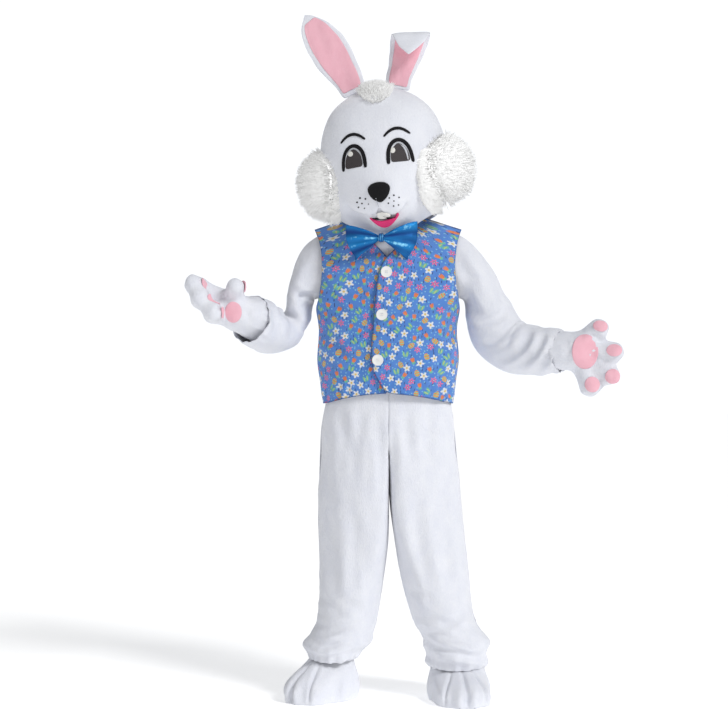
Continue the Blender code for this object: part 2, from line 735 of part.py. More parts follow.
def bow_band():
    """The short band round the middle of the bow."""
    grid = []
    for r in range(5):
        across = 2 * r / 4 - 1
        row = []
        for c in range(13):
            turn = 2 * math.pi * c / 12
            swell = 1 - 0.12 * across * across
            row.append(
                (
                    BOW_MIDDLE[0] + 8.0 * across,
                    BOW_MIDDLE[1] + 11.0 * swell * math.cos(turn),
                    BOW_MIDDLE[2] + 14.0 * swell * math.sin(turn),
                )
            )
        grid.append(row)
    slab("bow_band", grid, LAME, "lame_blue", inside=BOW_MIDDLE)


# The head: one skin about a centre, and everything that is sewn on it

HEAD_CENTRE = np.array((-4.0, -8.0, 225.0))
HEAD_YAW = 8.5  # it looks a little to the wearer's right
HEAD_ROLL = 7.0  # and leans to the wearer's right
HEAD_HALF = (194.0, 184.0, 222.0, 232.0)  # half width, half depth, height above and below the centre
# azimuth, elevation, spread in degrees, height of each swelling; those off the middle come twice
HEAD_SWELLINGS = [
    (0, -27, 24, 38),
    (12, -36, 9, 14),
    (0, -62, 18, 34),
    (46, -32, 17, 12),
    (0, -46, 7, -8),
    (0, 22, 20, 5),
]
HEAD_POWER = 2.5  # above 2 the section is boxier than an ellipse
HEAD_AZIMUTHS = (0, 7, 14, 21, 29, 38, 48, 60, 75, 92, 110, 132, 156, 180)
HEAD_ELEVATIONS = (90, 70, 51, 34, 20, 9, 0, -8, -16, -23)
HEAD_LOW_ROWS = 5  # rows from the last of these down to the rim of the neck
NECK_FRONT = -67.0
NECK_SIDE = -47.8
NECK_TIP = 2.0  # the rim stays level although the head leans
NECK_BACK = -57.0


def head_axes():
    yaw, roll = math.radians(HEAD_YAW), math.radians(HEAD_ROLL)
    ahead = np.array((-math.sin(yaw), -math.cos(yaw), 0.0))
    left = np.array((math.cos(yaw), -math.sin(yaw), 0.0))
    up = np.array((0.0, 0.0, 1.0))
    tilted_up = up * math.cos(roll) - left * math.sin(roll)
    tilted_left = left * math.cos(roll) + up * math.sin(roll)
    return ahead, tilted_left, tilted_up


def head_direction(azimuth, elevation):
    """Unit direction from the head's centre; azimuth is from the face towards the wearer's left."""
    ahead, left, up = head_axes()
    a, e = math.radians(azimuth), math.radians(elevation)
    return math.cos(e) * (math.cos(a) * ahead + math.sin(a) * left) + math.sin(e) * up


def head_radius(azimuth, elevation):
    half_width, half_depth, over, under = HEAD_HALF
    a, e = math.radians(azimuth), math.radians(elevation)
    tall = over if elevation > 0 else under
    parts = (
        math.cos(e) * math.sin(a) / half_width,
        math.cos(e) * math.cos(a) / half_depth,
        math.sin(e) / tall,
    )
    radius = sum(abs(p) ** HEAD_POWER for p in parts) ** (-1 / HEAD_POWER)
    here = np.array((math.cos(e) * math.sin(a), math.cos(e) * math.cos(a), math.sin(e)))
    for at, high, spread, height in HEAD_SWELLINGS:
        for sign in (1, -1) if at else (1,):
            b, f = math.radians(at * sign), math.radians(high)
            there = np.array((math.cos(f) * math.sin(b), math.cos(f) * math.cos(b), math.sin(f)))
            apart = math.degrees(math.acos(float(np.clip(here @ there, -1, 1))))
            radius += height * math.exp(-((apart / spread) ** 2) / 1.0)
    return radius


def head_shell():
    azimuths = list(HEAD_AZIMUTHS) + [360 - a for a in HEAD_AZIMUTHS[-2:0:-1]]
    grid = []
    for r in range(len(HEAD_ELEVATIONS) + HEAD_LOW_ROWS):
        row = []
        for azimuth in azimuths + [0]:
            ahead = math.cos(math.radians(azimuth))
            rim = NECK_SIDE + ((NECK_FRONT if ahead > 0 else NECK_BACK) - NECK_SIDE) * ahead**2
            rim -= NECK_TIP * math.sin(math.radians(azimuth))
            down = max(r - len(HEAD_ELEVATIONS) + 1, 0) / HEAD_LOW_ROWS
            high = HEAD_ELEVATIONS[min(r, len(HEAD_ELEVATIONS) - 1)]
            high += (rim - high) * down
            azimuth = azimuth if r else 0
            row.append(HEAD_CENTRE + head_radius(azimuth, high) * head_direction(azimuth, high))
        grid.append(row)
    _, skin = slab("head_shell", grid, SHELL, "plush_white", inside=HEAD_CENTRE)
    return skin


def on_head(skin, azimuth, elevation, out):
    """A point moved out from the head's skin along the line from its centre."""
    direction = head_direction(azimuth, elevation)
    hit, _, _, _ = skin.ray_cast(Vector(HEAD_CENTRE), Vector(direction))
    base = HEAD_CENTRE + direction * head_radius(azimuth, elevation) if hit is None else np.array(hit)
    return base + direction * out


SEAT = 0.4  # how far the facets of a sewn-on piece lie off the faceted skin


def head_patch(name, skin, places, thickness, finish, lift=SEAT):
    """A piece sewn flat on the head, from rows of (azimuth, elevation). Thickness may be a grid."""
    places = np.array(places, float)
    ways = np.array([[head_direction(a, e) for a, e in row] for row in places])
    feet = [[on_head(skin, a, e, 0.0) for a, e in row] for row in places]
    inner = lifted(feet, ways, skin, lift)
    outer = inner + ways * np.broadcast_to(thickness, places.shape[:2])[..., None]
    return slab(name, outer, 1.0, finish, inside=HEAD_CENTRE, inner=inner)


def strip(path, width):
    """A narrow band of (azimuth, elevation) along a path of (azimuth, elevation, width share)."""
    path = np.array(path, float)
    ways = np.gradient(path[:, :2], axis=0)
    ways /= np.linalg.norm(ways, axis=1, keepdims=True)
    offs = np.stack([-ways[:, 1], ways[:, 0]], axis=1) * (width / 2) * path[:, 2:3]
    return [np.stack([path[:, 0] + offs[:, 0] * k, path[:, 1] + offs[:, 1] * k], axis=1) for k in (-1, 0, 1)]


# eye centre azimuth, elevation of its foot, half width, height; brow is above
EYE = (20.5, -10.5, 10.8, 20.5)
EYE_BAND = 2.8


def arch(side, width, foot, height, count, start=0.0):
    """A horseshoe from the inner foot over the top to the outer foot."""
    path = []
    for t in np.linspace(start, 1 - start, count):
        turn = math.pi * t
        x = -math.cos(turn) * width
        y = math.sin(turn) ** 0.75 * height
        path.append((side * (EYE[0] + x), foot + y, 1.0))
    return path


def eyes(skin):
    for side_name, side in (("left", 1), ("right", -1)):
        foot, width, height = EYE[1], EYE[2], EYE[3]
        band = arch(side, width, foot, height, 11)
        head_patch(f"eye_band_{side_name}", skin, strip(band, EYE_BAND), FELT, "thread_black")
        rows = []
        for v in np.linspace(0.0, 1, 5):
            reach = (width - EYE_BAND * 0.85) * math.sqrt(max(1 - v**2.6, 0.02))
            level = foot + 1.2 + (height - EYE_BAND * 1.6) * v
            rows.append([(side * (EYE[0] + u * reach), level) for u in np.linspace(-1, 1, 5)])
        head_patch(f"eye_mesh_{side_name}", skin, rows, 0.6, "mesh_dark")
        brow = []
        for t in np.linspace(0, 1, 7):
            x = -12.0 + 24.0 * t
            y = 6.0 * math.sin(math.pi * t) ** 0.8
            brow.append((side * (EYE[0] + x), foot + height + 4.0 + y, 0.6 + 0.4 * math.sin(math.pi * t)))
        head_patch(f"brow_{side_name}", skin, strip(brow, 2.1), FELT, "thread_black")


NOSE = (-0.6, -27.0)


def nose(skin):
    """A padded rounded triangle with its point down."""
    places, thick = [], []
    for row in disc_grid(1.0, 1.0, 7):
        line, depths = [], []
        for u, v in row:
            wide = 9.0 * (1.0 if v > 0 else 1 - 0.5 * v * v) * (1 + 0.08 * v)
            tall = 5.0 if v > 0 else 8.6
            line.append((NOSE[0] + u * wide, NOSE[1] + v * tall))
            depths.append(4 + 11 * max(1 - min(u * u + v * v, 1), 0) ** 0.6)
        places.append(line)
        thick.append(depths)
    head_patch("nose", skin, places, np.array(thick), "nose_black")


MOUTH = (-0.5, -46.5)


def crescent(width, top_drop, low_drop, count, lift=0.0):
    """Rows between an upper and a lower arc that meet at the mouth's corners."""
    rows = []
    for k in np.linspace(0, 1, 4):
        row = []
        for u in np.linspace(-1, 1, count):
            high = MOUTH[1] + lift - top_drop * (1 - u * u)
            low = MOUTH[1] + lift - low_drop * (1 - u * u) - 0.6
            row.append((u * width, high + (low - high) * k))
        rows.append([(MOUTH[0] + a, e) for a, e in row])
    return rows


def mouth(skin):
    head_patch("mouth_dark", skin, crescent(13.5, -1.4, 2.6, 11), 0.8, "mesh_dark")
    head_patch("lip", skin, crescent(15.0, 3.6, 8.2, 13), 4.5, "tongue_pink")
    spots = disc_grid(1, 1, 5)
    places = [[(MOUTH[0] + 6.6 * u, MOUTH[1] + 0.6 + 2.7 * v) for u, v in row] for row in spots]
    head_patch("tooth", skin, places, 5.0, "tooth_white", lift=2.4)


# azimuth, elevation, half width, half height, tilt in degrees, and depth of each fur piece
CHEEK = (80.0, -13.5, 40.0, 29.0, 14.0, 80.0)
TUFT = (0.0, 69.0, 10.0, 11.0, 0.0, 12.0)


def around(azimuth, elevation, u, v):
    """The azimuth and elevation of a place u, v degrees away, measured on the sphere."""
    a, e = math.radians(azimuth), math.radians(elevation)
    here = np.array((math.cos(e) * math.cos(a), math.cos(e) * math.sin(a), math.sin(e)))
    right = np.array((-math.sin(a), math.cos(a), 0.0))
    up = np.cross(here, right)
    far = math.radians(math.hypot(u, v))
    way = (right * u + up * v) / max(math.hypot(u, v), 1e-9)
    there = here * math.cos(far) + way * math.sin(far)
    return math.degrees(math.atan2(there[1], there[0])), math.degrees(math.asin(there[2]))


def fur_piece(name, skin, spec, side=1, count=9):
    azimuth, elevation, half_u, half_v, tilt, height = spec
    places, thick = [], []
    for row in disc_grid(1.0, 1.0, count):
        line, depths = [], []
        for u, v in row:
            turn = math.radians(tilt)
            x = half_u * (u * math.cos(turn) - v * math.sin(turn))
            y = half_v * (u * math.sin(turn) + v * math.cos(turn))
            line.append(around(side * azimuth, elevation, side * x, y))
            far = min(u * u + v * v, 1.0)
            depths.append(2.5 + height * (1 - far**1.15) ** 0.85 * (1 - 0.4 * max(-u, 0)))
        places.append(line)
        thick.append(depths)
    head_patch(name, skin, places, np.array(thick), "fur_white")


# base azimuth and elevation, length, half width table along the ear, thickness, lean and fold
EAR_WIDTH = [(0.0, 38), (0.25, 54), (0.5, 66), (0.68, 63), (0.86, 42), (0.96, 19), (1.0, 5)]
LOP_WIDTH = [(0.0, 40), (0.25, 46), (0.5, 62), (0.66, 66), (0.86, 40), (0.96, 17), (1.0, 5)]
EAR_THICK = 7.0
EAR_ROWS = 14
# turns round the ear's section; the second to the sixth carry the lining
EAR_TURNS = (0, 38, 64, 90, 116, 142, 180, 225, 270, 315)


def ear(side_name, skin, path, widths, facings, cup, flat):
    """A padded leaf. Its foot follows the head's skin, and its lining lies on the front."""
    rings = []
    for k, (point, (across, front)) in enumerate(zip(path, facings)):
        t = k / (len(path) - 1)
        half = lookup(widths, t)[0]
        full = 0.35 + 0.65 * math.sqrt(max(1 - t**4, 0))
        ring = []
        for turn in EAR_TURNS + (0,):
            u = math.cos(math.radians(turn))
            bulge = EAR_THICK * math.sin(math.radians(turn)) * full
            hollow = cup * half * u * u * (1 - flat * ease((t - 0.35) / 0.15))
            ring.append(point + across * half * u + front * (bulge + hollow))
        rings.append(ring)
    foot = [np.mean(rings[0][:-1], axis=0)] * len(rings[0])
    seat = [[on_skin(skin, p) for p in row] for row in (foot, rings[0])]
    ways = [[(p - HEAD_CENTRE) / np.linalg.norm(p - HEAD_CENTRE) for p in row] for row in seat]
    foot, rings[0] = lifted(seat, ways, skin, SEAT)
    foot = [max(foot, key=lambda p: np.linalg.norm(p - HEAD_CENTRE))] * len(foot)
    tip = [path[-1] + (path[-1] - path[-2]) * 0.3] * len(foot)
    closed_leaf(f"ear_{side_name}", [foot, *rings, tip], "plush_white")
    feet = [[p + facings[k][1] * SEAT for p in rings[k][1:6]] for k in range(1, len(rings) - 1)]
    lining = [[p + facings[k + 1][1] * FELT for p in row] for k, row in enumerate(feet)]
    middle = path[len(path) // 3] - facings[len(path) // 3][1] * 40
    slab(f"ear_lining_{side_name}", lining, FELT, "plush_pink", inside=middle, inner=feet)


def on_skin(skin, point):
    """The place on the head's skin in line with a point."""
    hit, _, _, _ = skin.ray_cast(Vector(HEAD_CENTRE), Vector(point - HEAD_CENTRE))
    return np.array(hit)


def closed_leaf(name, grid, finish):
    """A closed solid from rings that start and end in one point."""
    grid = np.array(grid, float)
    points, triangles, _ = welded(grid, None)
    bm = bmesh.new()
    verts = [bm.verts.new(p * MM) for p in points]
    for t in triangles:
        bm.faces.new([verts[k] for k in t])
    bmesh.ops.recalc_face_normals(bm, faces=bm.faces)
    if bm.calc_volume(signed=True) < 0:
        bmesh.ops.reverse_faces(bm, faces=bm.faces)
    mesh = bpy.data.meshes.new(name)
    bm.to_mesh(mesh)
    bm.free()
    return add_object(name, mesh, finish)


# the ears' middle lines, from the head's skin upwards, and the way each front faces
EAR_LINES = {
    "right": [(-92, -4, 425), (-118, -6, 480), (-160, -8, 545), (-206, -4, 610), (-250, 4, 676)],
    "left": [
        (32, -4, 440),
        (42, -2, 490),
        (58, 2, 545),
        (67, 4, 582),
        (73, -3, 605),
        (76, -21, 618),
        (75, -41, 609),
        (71, -55, 588),
        (67, -88, 542),
    ],
}
EAR_SPLAY = {"right": (0.80, -0.08, 0.50), "left": (1.0, 0.0, 0.10)}


def ears(skin):
    for side_name, widths, cup in (("right", EAR_WIDTH, 0.12), ("left", LOP_WIDTH, 0.10)):
        path = along(EAR_LINES[side_name], EAR_ROWS if side_name == "right" else EAR_ROWS + 4)
        ways = np.gradient(path, axis=0)
        facings = []
        for way in ways:
            way = way / np.linalg.norm(way)
            across = np.array(EAR_SPLAY[side_name], float)
            across -= way * (across @ way)
            across /= np.linalg.norm(across)
            facings.append((across, np.cross(way, across) * -1))
        facings = [(a, f if k else f) for k, (a, f) in enumerate(facings)]
        if facings[0][1][1] > 0:
            facings = [(a, -f) for a, f in facings]
        ear(side_name, skin, path, widths, facings, cup, side_name == "left")


# The mitts: a palm and four padded digits in one skin, open at the wrist

# each limb: start, end, radius at the start and at the end
MITTS = {
    "left": {
        "cuff": ((512, -96, -357), (-0.85, 0.53, 0.0)),
        "limbs": [
            ((498, -90, -358), (556, -118, -356), 60.6, 58),
            ((556, -118, -352), (590, -124, -340), 54, 44),
            ((560, -118, -366), (592, -122, -392), 50, 38),
            ((590, -124, -330), (634, -144, -290), 28, 34),
            ((604, -124, -352), (682, -146, -360), 26, 33),
            ((604, -122, -380), (668, -142, -431), 25, 34),
            ((584, -120, -396), (609, -136, -467), 26, 34),
        ],
        "pads": [
            ((590, -400, -360), (0, 1, 0), 40, 52, 0),
            ((635, -400, -284), (0, 1, 0), 22, 16, -8),
            ((676, -400, -356), (0, 1, 0), 23, 18, 0),
            ((672, -400, -434), (0, 1, 0), 23, 22, 0),
            ((612, -400, -458), (0, 1, 0), 23, 23, 0),
        ],
    },
    "right": {
        "cuff": ((-392, -112, -262), (0.72, 0.68, -0.1)),
        "limbs": [
            ((-380, -104, -266), (-444, -160, -246), 70.6, 54),
            ((-444, -160, -236), (-484, -168, -214), 46, 38),
            ((-442, -158, -262), (-482, -164, -250), 44, 36),
            ((-456, -166, -206), (-446, -214, -168), 25, 31),
            ((-492, -160, -196), (-556, -160, -170), 25, 28),
            ((-556, -160, -170), (-570, -204, -160), 28, 32),
            ((-500, -156, -222), (-558, -166, -208), 25, 28),
            ((-558, -166, -208), (-550, -220, -204), 28, 33),
            ((-484, -158, -260), (-520, -178, -254), 25, 28),
            ((-520, -178, -254), (-510, -230, -246), 28, 33),
        ],
        "pads": [
            ((-434, -400, -244), (-0.1, 1, 0), 24, 31, 0),
            ((-300, -214, -168), (-1, 0.1, 0), 17, 17, 0),
            ((-500, -208, -160), (-1, 0.1, 0), 17, 17, 0),
            ((-490, -228, -206), (-1, 0.1, 0), 15, 15, 0),
            ((-450, -234, -246), (-1, 0.1, 0), 17, 17, 0),
        ],
    },
}
MITT_VOXEL = 7.0
MITT_SHARE = 0.042  # triangles kept


def limb(bm, start, end, first, last):
    """A rod of growing radius with round ends, as overlapping balls."""
    start, end = np.array(start, float), np.array(end, float)
    steps = max(2, int(np.linalg.norm(end - start) / 9))
    for t in np.linspace(0, 1, steps + 1):
        centre, radius = start + (end - start) * t, first + (last - first) * t
        made = bmesh.ops.create_icosphere(bm, subdivisions=2, radius=radius * MM)
        bmesh.ops.translate(bm, verts=made["verts"], vec=Vector(centre * MM))


def mitt(side_name):
    spec = MITTS[side_name]
    bm = bmesh.new()
    for start, end, first, last in spec["limbs"]:
        limb(bm, start, end, first, last)
    mesh = bpy.data.meshes.new("balls")
    bm.to_mesh(mesh)
    bm.free()
    rough = bpy.data.objects.new("balls", mesh)
    bpy.context.scene.collection.objects.link(rough)
    remesh = rough.modifiers.new("remesh", "REMESH")
    remesh.mode = "VOXEL"
    remesh.voxel_size = MITT_VOXEL * MM
    smooth = rough.modifiers.new("smooth", "SMOOTH")
    smooth.iterations = 6
    fewer = rough.modifiers.new("fewer", "DECIMATE")
    fewer.ratio = MITT_SHARE
    graph = bpy.context.evaluated_depsgraph_get()
    skin = bpy.data.meshes.new_from_object(rough.evaluated_get(graph))
    bpy.data.objects.remove(rough)
    point, out = spec["cuff"]
    bm = bmesh.new()
    bm.from_mesh(skin)
    bmesh.ops.bisect_plane(
        bm,
        geom=[*bm.verts, *bm.edges, *bm.faces],
        dist=1e-6,
        plane_co=Vector(point) * MM,
        plane_no=Vector(out),
        clear_outer=True,
    )
    bmesh.ops.triangulate(bm, faces=bm.faces)
    bmesh.ops.recalc_face_normals(bm, faces=bm.faces)
    bm.verts.ensure_lookup_table()
    points = np.array([v.co for v in bm.verts]) / MM
    triangles = [tuple(v.index for v in f.verts) for f in bm.faces]
    tree = BVHTree.FromPolygons([Vector(p) for p in points], triangles)
    bm.to_mesh(skin)
    bm.free()
    made = add_object(f"mitt_{side_name}", skin, "plush_white")
    wall = made.modifiers.new("wall", "SOLIDIFY")
    wall.thickness = PLUSH * MM
    wall.offset = -1
    names = ["palm_pad", "thumb_pad", "finger_pad_1", "finger_pad_2", "finger_pad_3"]
    for name, (middle, way, half_u, half_v, turn) in zip(names, spec["pads"]):
        pad(f"{name}_{side_name}", tree, middle, way, half_u, half_v, turn)


def pad(name, tree, middle, way, half_u, half_v, turn):
    """A felt oval laid on the skin where lines along the way meet it."""
    way = Vector(way).normalized()
    level = way.cross(Vector((0, 0, 1))).normalized()
    count = 6 if half_v > 30 else 5
    far = tree.ray_cast(Vector(middle), way)[3]
    feet = []
    for row in disc_grid(half_u, half_v, count, turn):
        starts = [Vector(middle) + level * u + Vector((0, 0, v)) for u, v in row]
        hits = [tree.ray_cast(start, way)[0] for start in starts]
        near = [tree.find_nearest(start + way * far)[0] for start in starts]
        feet.append([np.array(hit or spot) for hit, spot in zip(hits, near)])
    ways = np.broadcast_to(-np.array(way), np.shape(feet))
    inner = lifted(feet, ways, tree, SEAT + 0.2)
    behind = np.mean(inner.reshape(-1, 3), axis=0) + np.array(way) * 200
    slab(name, inner + ways * FELT, FELT, "plush_pink", inside=behind, inner=inner)


# The foot covers: a domed upper with toes, open at the ankle, and a flat sole

# ankle centre, turn of the toes to the wearer's left, height, half width and half depth of the ankle's
# opening, size of the sole, and height of the instep
FEET = {
    "right": ((-165, 2), -48.0, 126.0, 65.7, 61.5, 0.92, 78.0),
    "left": ((219, -2), 6.0, 102.0, 84.7, 64.4, 1.0, 58.0),
}
SOLE_AHEAD, SOLE_BEHIND, SOLE_HALF = 205.0, 92.0, 104.0
TOES = 4
TOE_DIP = 0.17
FOOT_FRONT = 20  # columns over the toes
FOOT_REST = 8  # columns round the heel
TOE_SPREAD = 72.0  # half angle the toes take up, in degrees
FOOT_ROWS = 6
SOLE_THICK = 4.0


def foot_outline(turn):
    """Reach of the sole from the ankle's middle; turn 0 points at the toes."""
    ahead = math.cos(turn)
    long = SOLE_AHEAD if ahead > 0 else SOLE_BEHIND
    wide = SOLE_HALF * (1.0 if ahead > 0 else 0.86)
    power = 2.5
    reach = (abs(ahead / long) ** power + abs(math.sin(turn) / wide) ** power) ** (-1 / power)
    return reach


def toe_dip(turn):
    """Depth share of the cuts between toes, at even places across the front."""
    side = foot_outline(turn) * math.sin(turn) / SOLE_HALF
    front = ease((math.cos(turn) - 0.25) / 0.3)
    phase = (side + 1) / 2 * TOES
    return front * TOE_DIP * (0.5 + 0.5 * math.cos(2 * math.pi * phase)) ** 1.6


def foot(side_name):
    (x0, y0), toes_turn, high, ankle_x, ankle_y, size, instep = FEET[side_name]
    yaw = math.radians(toes_turn)
    ahead = np.array((math.sin(yaw), -math.cos(yaw)))
    aside = np.array((math.cos(yaw), math.sin(yaw)))
    toes = np.linspace(-TOE_SPREAD, TOE_SPREAD, FOOT_FRONT + 1)
    heel = np.linspace(TOE_SPREAD, 360 - TOE_SPREAD, FOOT_REST + 1)
    turns = [*toes, *heel[1:-1], toes[0]]
    grid = []
    for r in range(FOOT_ROWS + 1):
        t = r / FOOT_ROWS
        row = []
        for turn in np.radians(turns):
            front = ease((math.cos(turn) + 0.3) / 1.1)
            dip = toe_dip(turn) * ease(1.25 - t * 1.5) * (0.5 + 0.5 * ease(t * 4))
            reach = foot_outline(turn) * size * (1 - dip)
            ankle = 1 / math.hypot(math.cos(turn + yaw) / ankle_y, math.sin(turn + yaw) / ankle_x)
            corners = (
                (reach * 0.93, 0),
                (reach * 1.12, 32 + 28 * front),
                (reach * 0.74 * front + (ankle + 16) * (1 - front), instep),
                (ankle, high),
            )
            w = ((1 - t) ** 3, 3 * t * (1 - t) ** 2, 3 * t * t * (1 - t), t**3)
            out = sum(a * b[0] for a, b in zip(w, corners))
            z = sum(a * b[1] for a, b in zip(w, corners))
            flat = out * (math.cos(turn) * ahead + math.sin(turn) * aside)
            row.append((x0 + flat[0], y0 + flat[1], FLOOR + z))
        grid.append(row)
    slab(f"foot_upper_{side_name}", grid, PLUSH, "plush_white", inside=(x0, y0, FLOOR + 40))
    outline = []
    middle = np.mean([p[:2] for p in grid[0][:-1]], axis=0)
    for p in grid[0][:-1]:
        way = np.array(p[:2]) - middle
        outline.append(middle + way * (1 - (PLUSH + 2.0) / np.linalg.norm(way)))
    plate(f"foot_sole_{side_name}", outline, FLOOR, FLOOR + SOLE_THICK, "sole_grey")


def plate(name, outline, low, high, finish):
    """A flat plate between two heights."""
    bm = bmesh.new()
    face = bm.faces.new([bm.verts.new((x * MM, y * MM, low * MM)) for x, y in outline])
    made = bmesh.ops.extrude_face_region(bm, geom=[face])
    verts = [g for g in made["geom"] if isinstance(g, bmesh.types.BMVert)]
    bmesh.ops.translate(bm, verts=verts, vec=(0, 0, (high - low) * MM))
    bmesh.ops.recalc_face_normals(bm, faces=bm.faces)
    mesh = bpy.data.meshes.new(name)
    bm.to_mesh(mesh)
    bm.free()
    return add_object(name, mesh, finish)


def build():
    clear_scene()
    for side_name in ("left", "right"):
        suit_panel(side_name, -1)
        suit_panel(side_name, 1)
        sleeve(side_name)
    buttons(vest())
    bow_wing("left")
    bow_wing("right")
    bow_band()
    skin = head_shell()
    eyes(skin)
    nose(skin)
    mouth(skin)
    for side_name, side in (("left", 1), ("right", -1)):
        fur_piece(f"cheek_{side_name}", skin, CHEEK, side)
    fur_piece("head_tuft", skin, TUFT, 1, 5)
    ears(skin)
    for side_name in ("left", "right"):
        mitt(side_name)
        foot(side_name)


build()
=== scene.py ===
# %% [markdown]
# # A plush bunny costume
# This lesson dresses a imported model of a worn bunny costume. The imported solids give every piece
# its place and size. Each cell below turns some of them into cloth, fur, felt or plastic, in the
# order in which a costume maker would sew them: suit, feet, mitts, waistcoat, bow, head and face.

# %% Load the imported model
import math

import bmesh
import bpy
import numpy as np
from mathutils import Matrix, Vector
from mathutils.bvhtree import BVHTree
from mathutils.kdtree import KDTree


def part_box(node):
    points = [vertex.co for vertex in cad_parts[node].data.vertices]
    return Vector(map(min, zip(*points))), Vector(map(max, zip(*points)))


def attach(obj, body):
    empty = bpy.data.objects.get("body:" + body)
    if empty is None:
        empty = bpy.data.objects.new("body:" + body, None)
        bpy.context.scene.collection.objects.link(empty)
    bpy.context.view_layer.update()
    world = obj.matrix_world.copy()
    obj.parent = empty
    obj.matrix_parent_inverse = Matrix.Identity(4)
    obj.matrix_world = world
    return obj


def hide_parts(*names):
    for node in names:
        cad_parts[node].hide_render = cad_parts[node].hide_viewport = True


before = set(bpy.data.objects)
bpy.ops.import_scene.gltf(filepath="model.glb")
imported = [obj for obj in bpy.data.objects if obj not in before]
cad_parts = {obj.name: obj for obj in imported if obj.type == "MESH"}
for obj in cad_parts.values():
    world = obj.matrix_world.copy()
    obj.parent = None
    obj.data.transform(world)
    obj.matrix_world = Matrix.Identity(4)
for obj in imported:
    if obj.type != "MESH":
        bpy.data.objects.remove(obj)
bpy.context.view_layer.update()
MM = 0.001
print("pieces in the packed model:", len(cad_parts))

# %% [markdown]
# ## The studio
# The costume is white on white, so the picture depends on soft light with a direction. A wide
# sun from high on the right shapes the folds, a weak light fills the left side, one behind draws
# the edges, and an even pale world keeps the shadows light. The camera stands 5 m away with a long
# lens, level with the costume's middle, as such a catalogue picture is taken.

# %% Camera
CAMERA_PLACE = (-0.068, -5.0, -0.397)
CAMERA_LENS = 80.36
FLOOR_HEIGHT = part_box("foot_sole_left")[0].z

bpy.ops.object.camera_add(location=CAMERA_PLACE, rotation=(math.pi / 2, 0, 0))
camera = bpy.context.object
camera.data.lens = CAMERA_LENS
camera.data.sensor_width = 36
bpy.context.scene.camera = camera
print("floor at", round(FLOOR_HEIGHT, 3))

# %% Lights, world and floor
# name, place, width, power, colour
LIGHTS = [
    ("fill", (-2.6, -3.6, 2.0), 1.6, 12, (1.0, 0.99, 0.97)),
    ("rim", (2.4, 3.4, 1.8), 2.0, 30, (0.96, 0.98, 1.0)),
]
KEY_TURN = (math.radians(52), 0, math.radians(46))
KEY_STRENGTH = 1.75
KEY_SOFTNESS = math.radians(16)
LIGHT_AIM = Vector((0, 0, -0.4))


def soft_light(name, place, width, power, colour):
    bpy.ops.object.light_add(type="AREA", location=place)
    lamp = bpy.context.object
    lamp.name = name
    lamp.data.size = width
    lamp.data.energy = power
    lamp.data.color = colour
    lamp.rotation_euler = (LIGHT_AIM - Vector(place)).to_track_quat("-Z", "Y").to_euler()


for row in LIGHTS:
    soft_light(*row)
bpy.ops.object.light_add(type="SUN", rotation=KEY_TURN)
bpy.context.object.data.energy = KEY_STRENGTH
bpy.context.object.data.angle = KEY_SOFTNESS

world = bpy.data.worlds.new("studio")
bpy.context.scene.world = world
world.use_nodes = True
backdrop = world.node_tree.nodes["Background"]
backdrop.inputs["Color"].default_value = (0.95, 0.97, 1.0, 1)
camera_ray = world.node_tree.nodes.new("ShaderNodeLightPath").outputs["Is Camera Ray"]
level = world.node_tree.nodes.new("ShaderNodeMapRange")
level.inputs["To Min"].default_value = 0.34  # what lights the costume
level.inputs["To Max"].default_value = 1.1  # what the camera sees behind it
world.node_tree.links.new(camera_ray, level.inputs["Value"])
world.node_tree.links.new(level.outputs[0], backdrop.inputs["Strength"])
bpy.context.scene.view_settings.view_transform = "Standard"

bpy.ops.mesh.primitive_plane_add(size=60, location=(0, 0, FLOOR_HEIGHT - 0.0006))
floor = bpy.context.object
floor.name = "floor"
paper = bpy.data.materials.new("white_floor")
paper.use_nodes = True
finish = paper.node_tree.nodes["Principled BSDF"].inputs
finish["Base Color"].default_value = (0.93, 0.93, 0.93, 1)
finish["Roughness"].default_value = 0.9
finish["Emission Color"].default_value = (1, 1, 1, 1)
finish["Emission Strength"].default_value = 0.42  # the paper stays as white as the backdrop
floor.data.materials.append(paper)
print("lights:", len(LIGHTS) + 1)

# %% [markdown]
# ## Shared effects
# Nearly every cloth here is a pile or a weave. Each effect is one shader group with named inputs,
# so that plush, fleece and felt are the same nap with other numbers. The small helpers below make
# the node wiring short to read: a value is either another node's output or a plain number.


# %% Node helpers
def wire(tree, value, socket):
    if isinstance(value, bpy.types.NodeSocket):
        tree.links.new(value, socket)
    elif value is not None:
        socket.default_value = value


def calc(tree, operation, *values, clamp=False):
    node = tree.nodes.new("ShaderNodeMath")
    node.operation = operation
    node.use_clamp = clamp
    for value, socket in zip(values, node.inputs):
        wire(tree, value, socket)
    return node.outputs[0]


def blend_colours(tree, share, first, second):
    node = tree.nodes.new("ShaderNodeMix")
    node.data_type = "RGBA"
    for value, socket in zip((share, first, second), (node.inputs[0], node.inputs[6], node.inputs[7])):
        wire(tree, value, socket)
    return node.outputs[2]


def object_place(tree):
    return tree.nodes.new("ShaderNodeTexCoord").outputs["Object"]


def noise(tree, where, scale, detail=2.0, stretch=(1, 1, 1)):
    if stretch != (1, 1, 1):
        mapping = tree.nodes.new("ShaderNodeMapping")
        mapping.inputs["Scale"].default_value = stretch
        tree.links.new(where, mapping.inputs["Vector"])
        where = mapping.outputs[0]
    node = tree.nodes.new("ShaderNodeTexNoise")
    wire(tree, where, node.inputs["Vector"])
    wire(tree, scale, node.inputs["Scale"])
    node.inputs["Detail"].default_value = detail
    return node.outputs["Fac"]


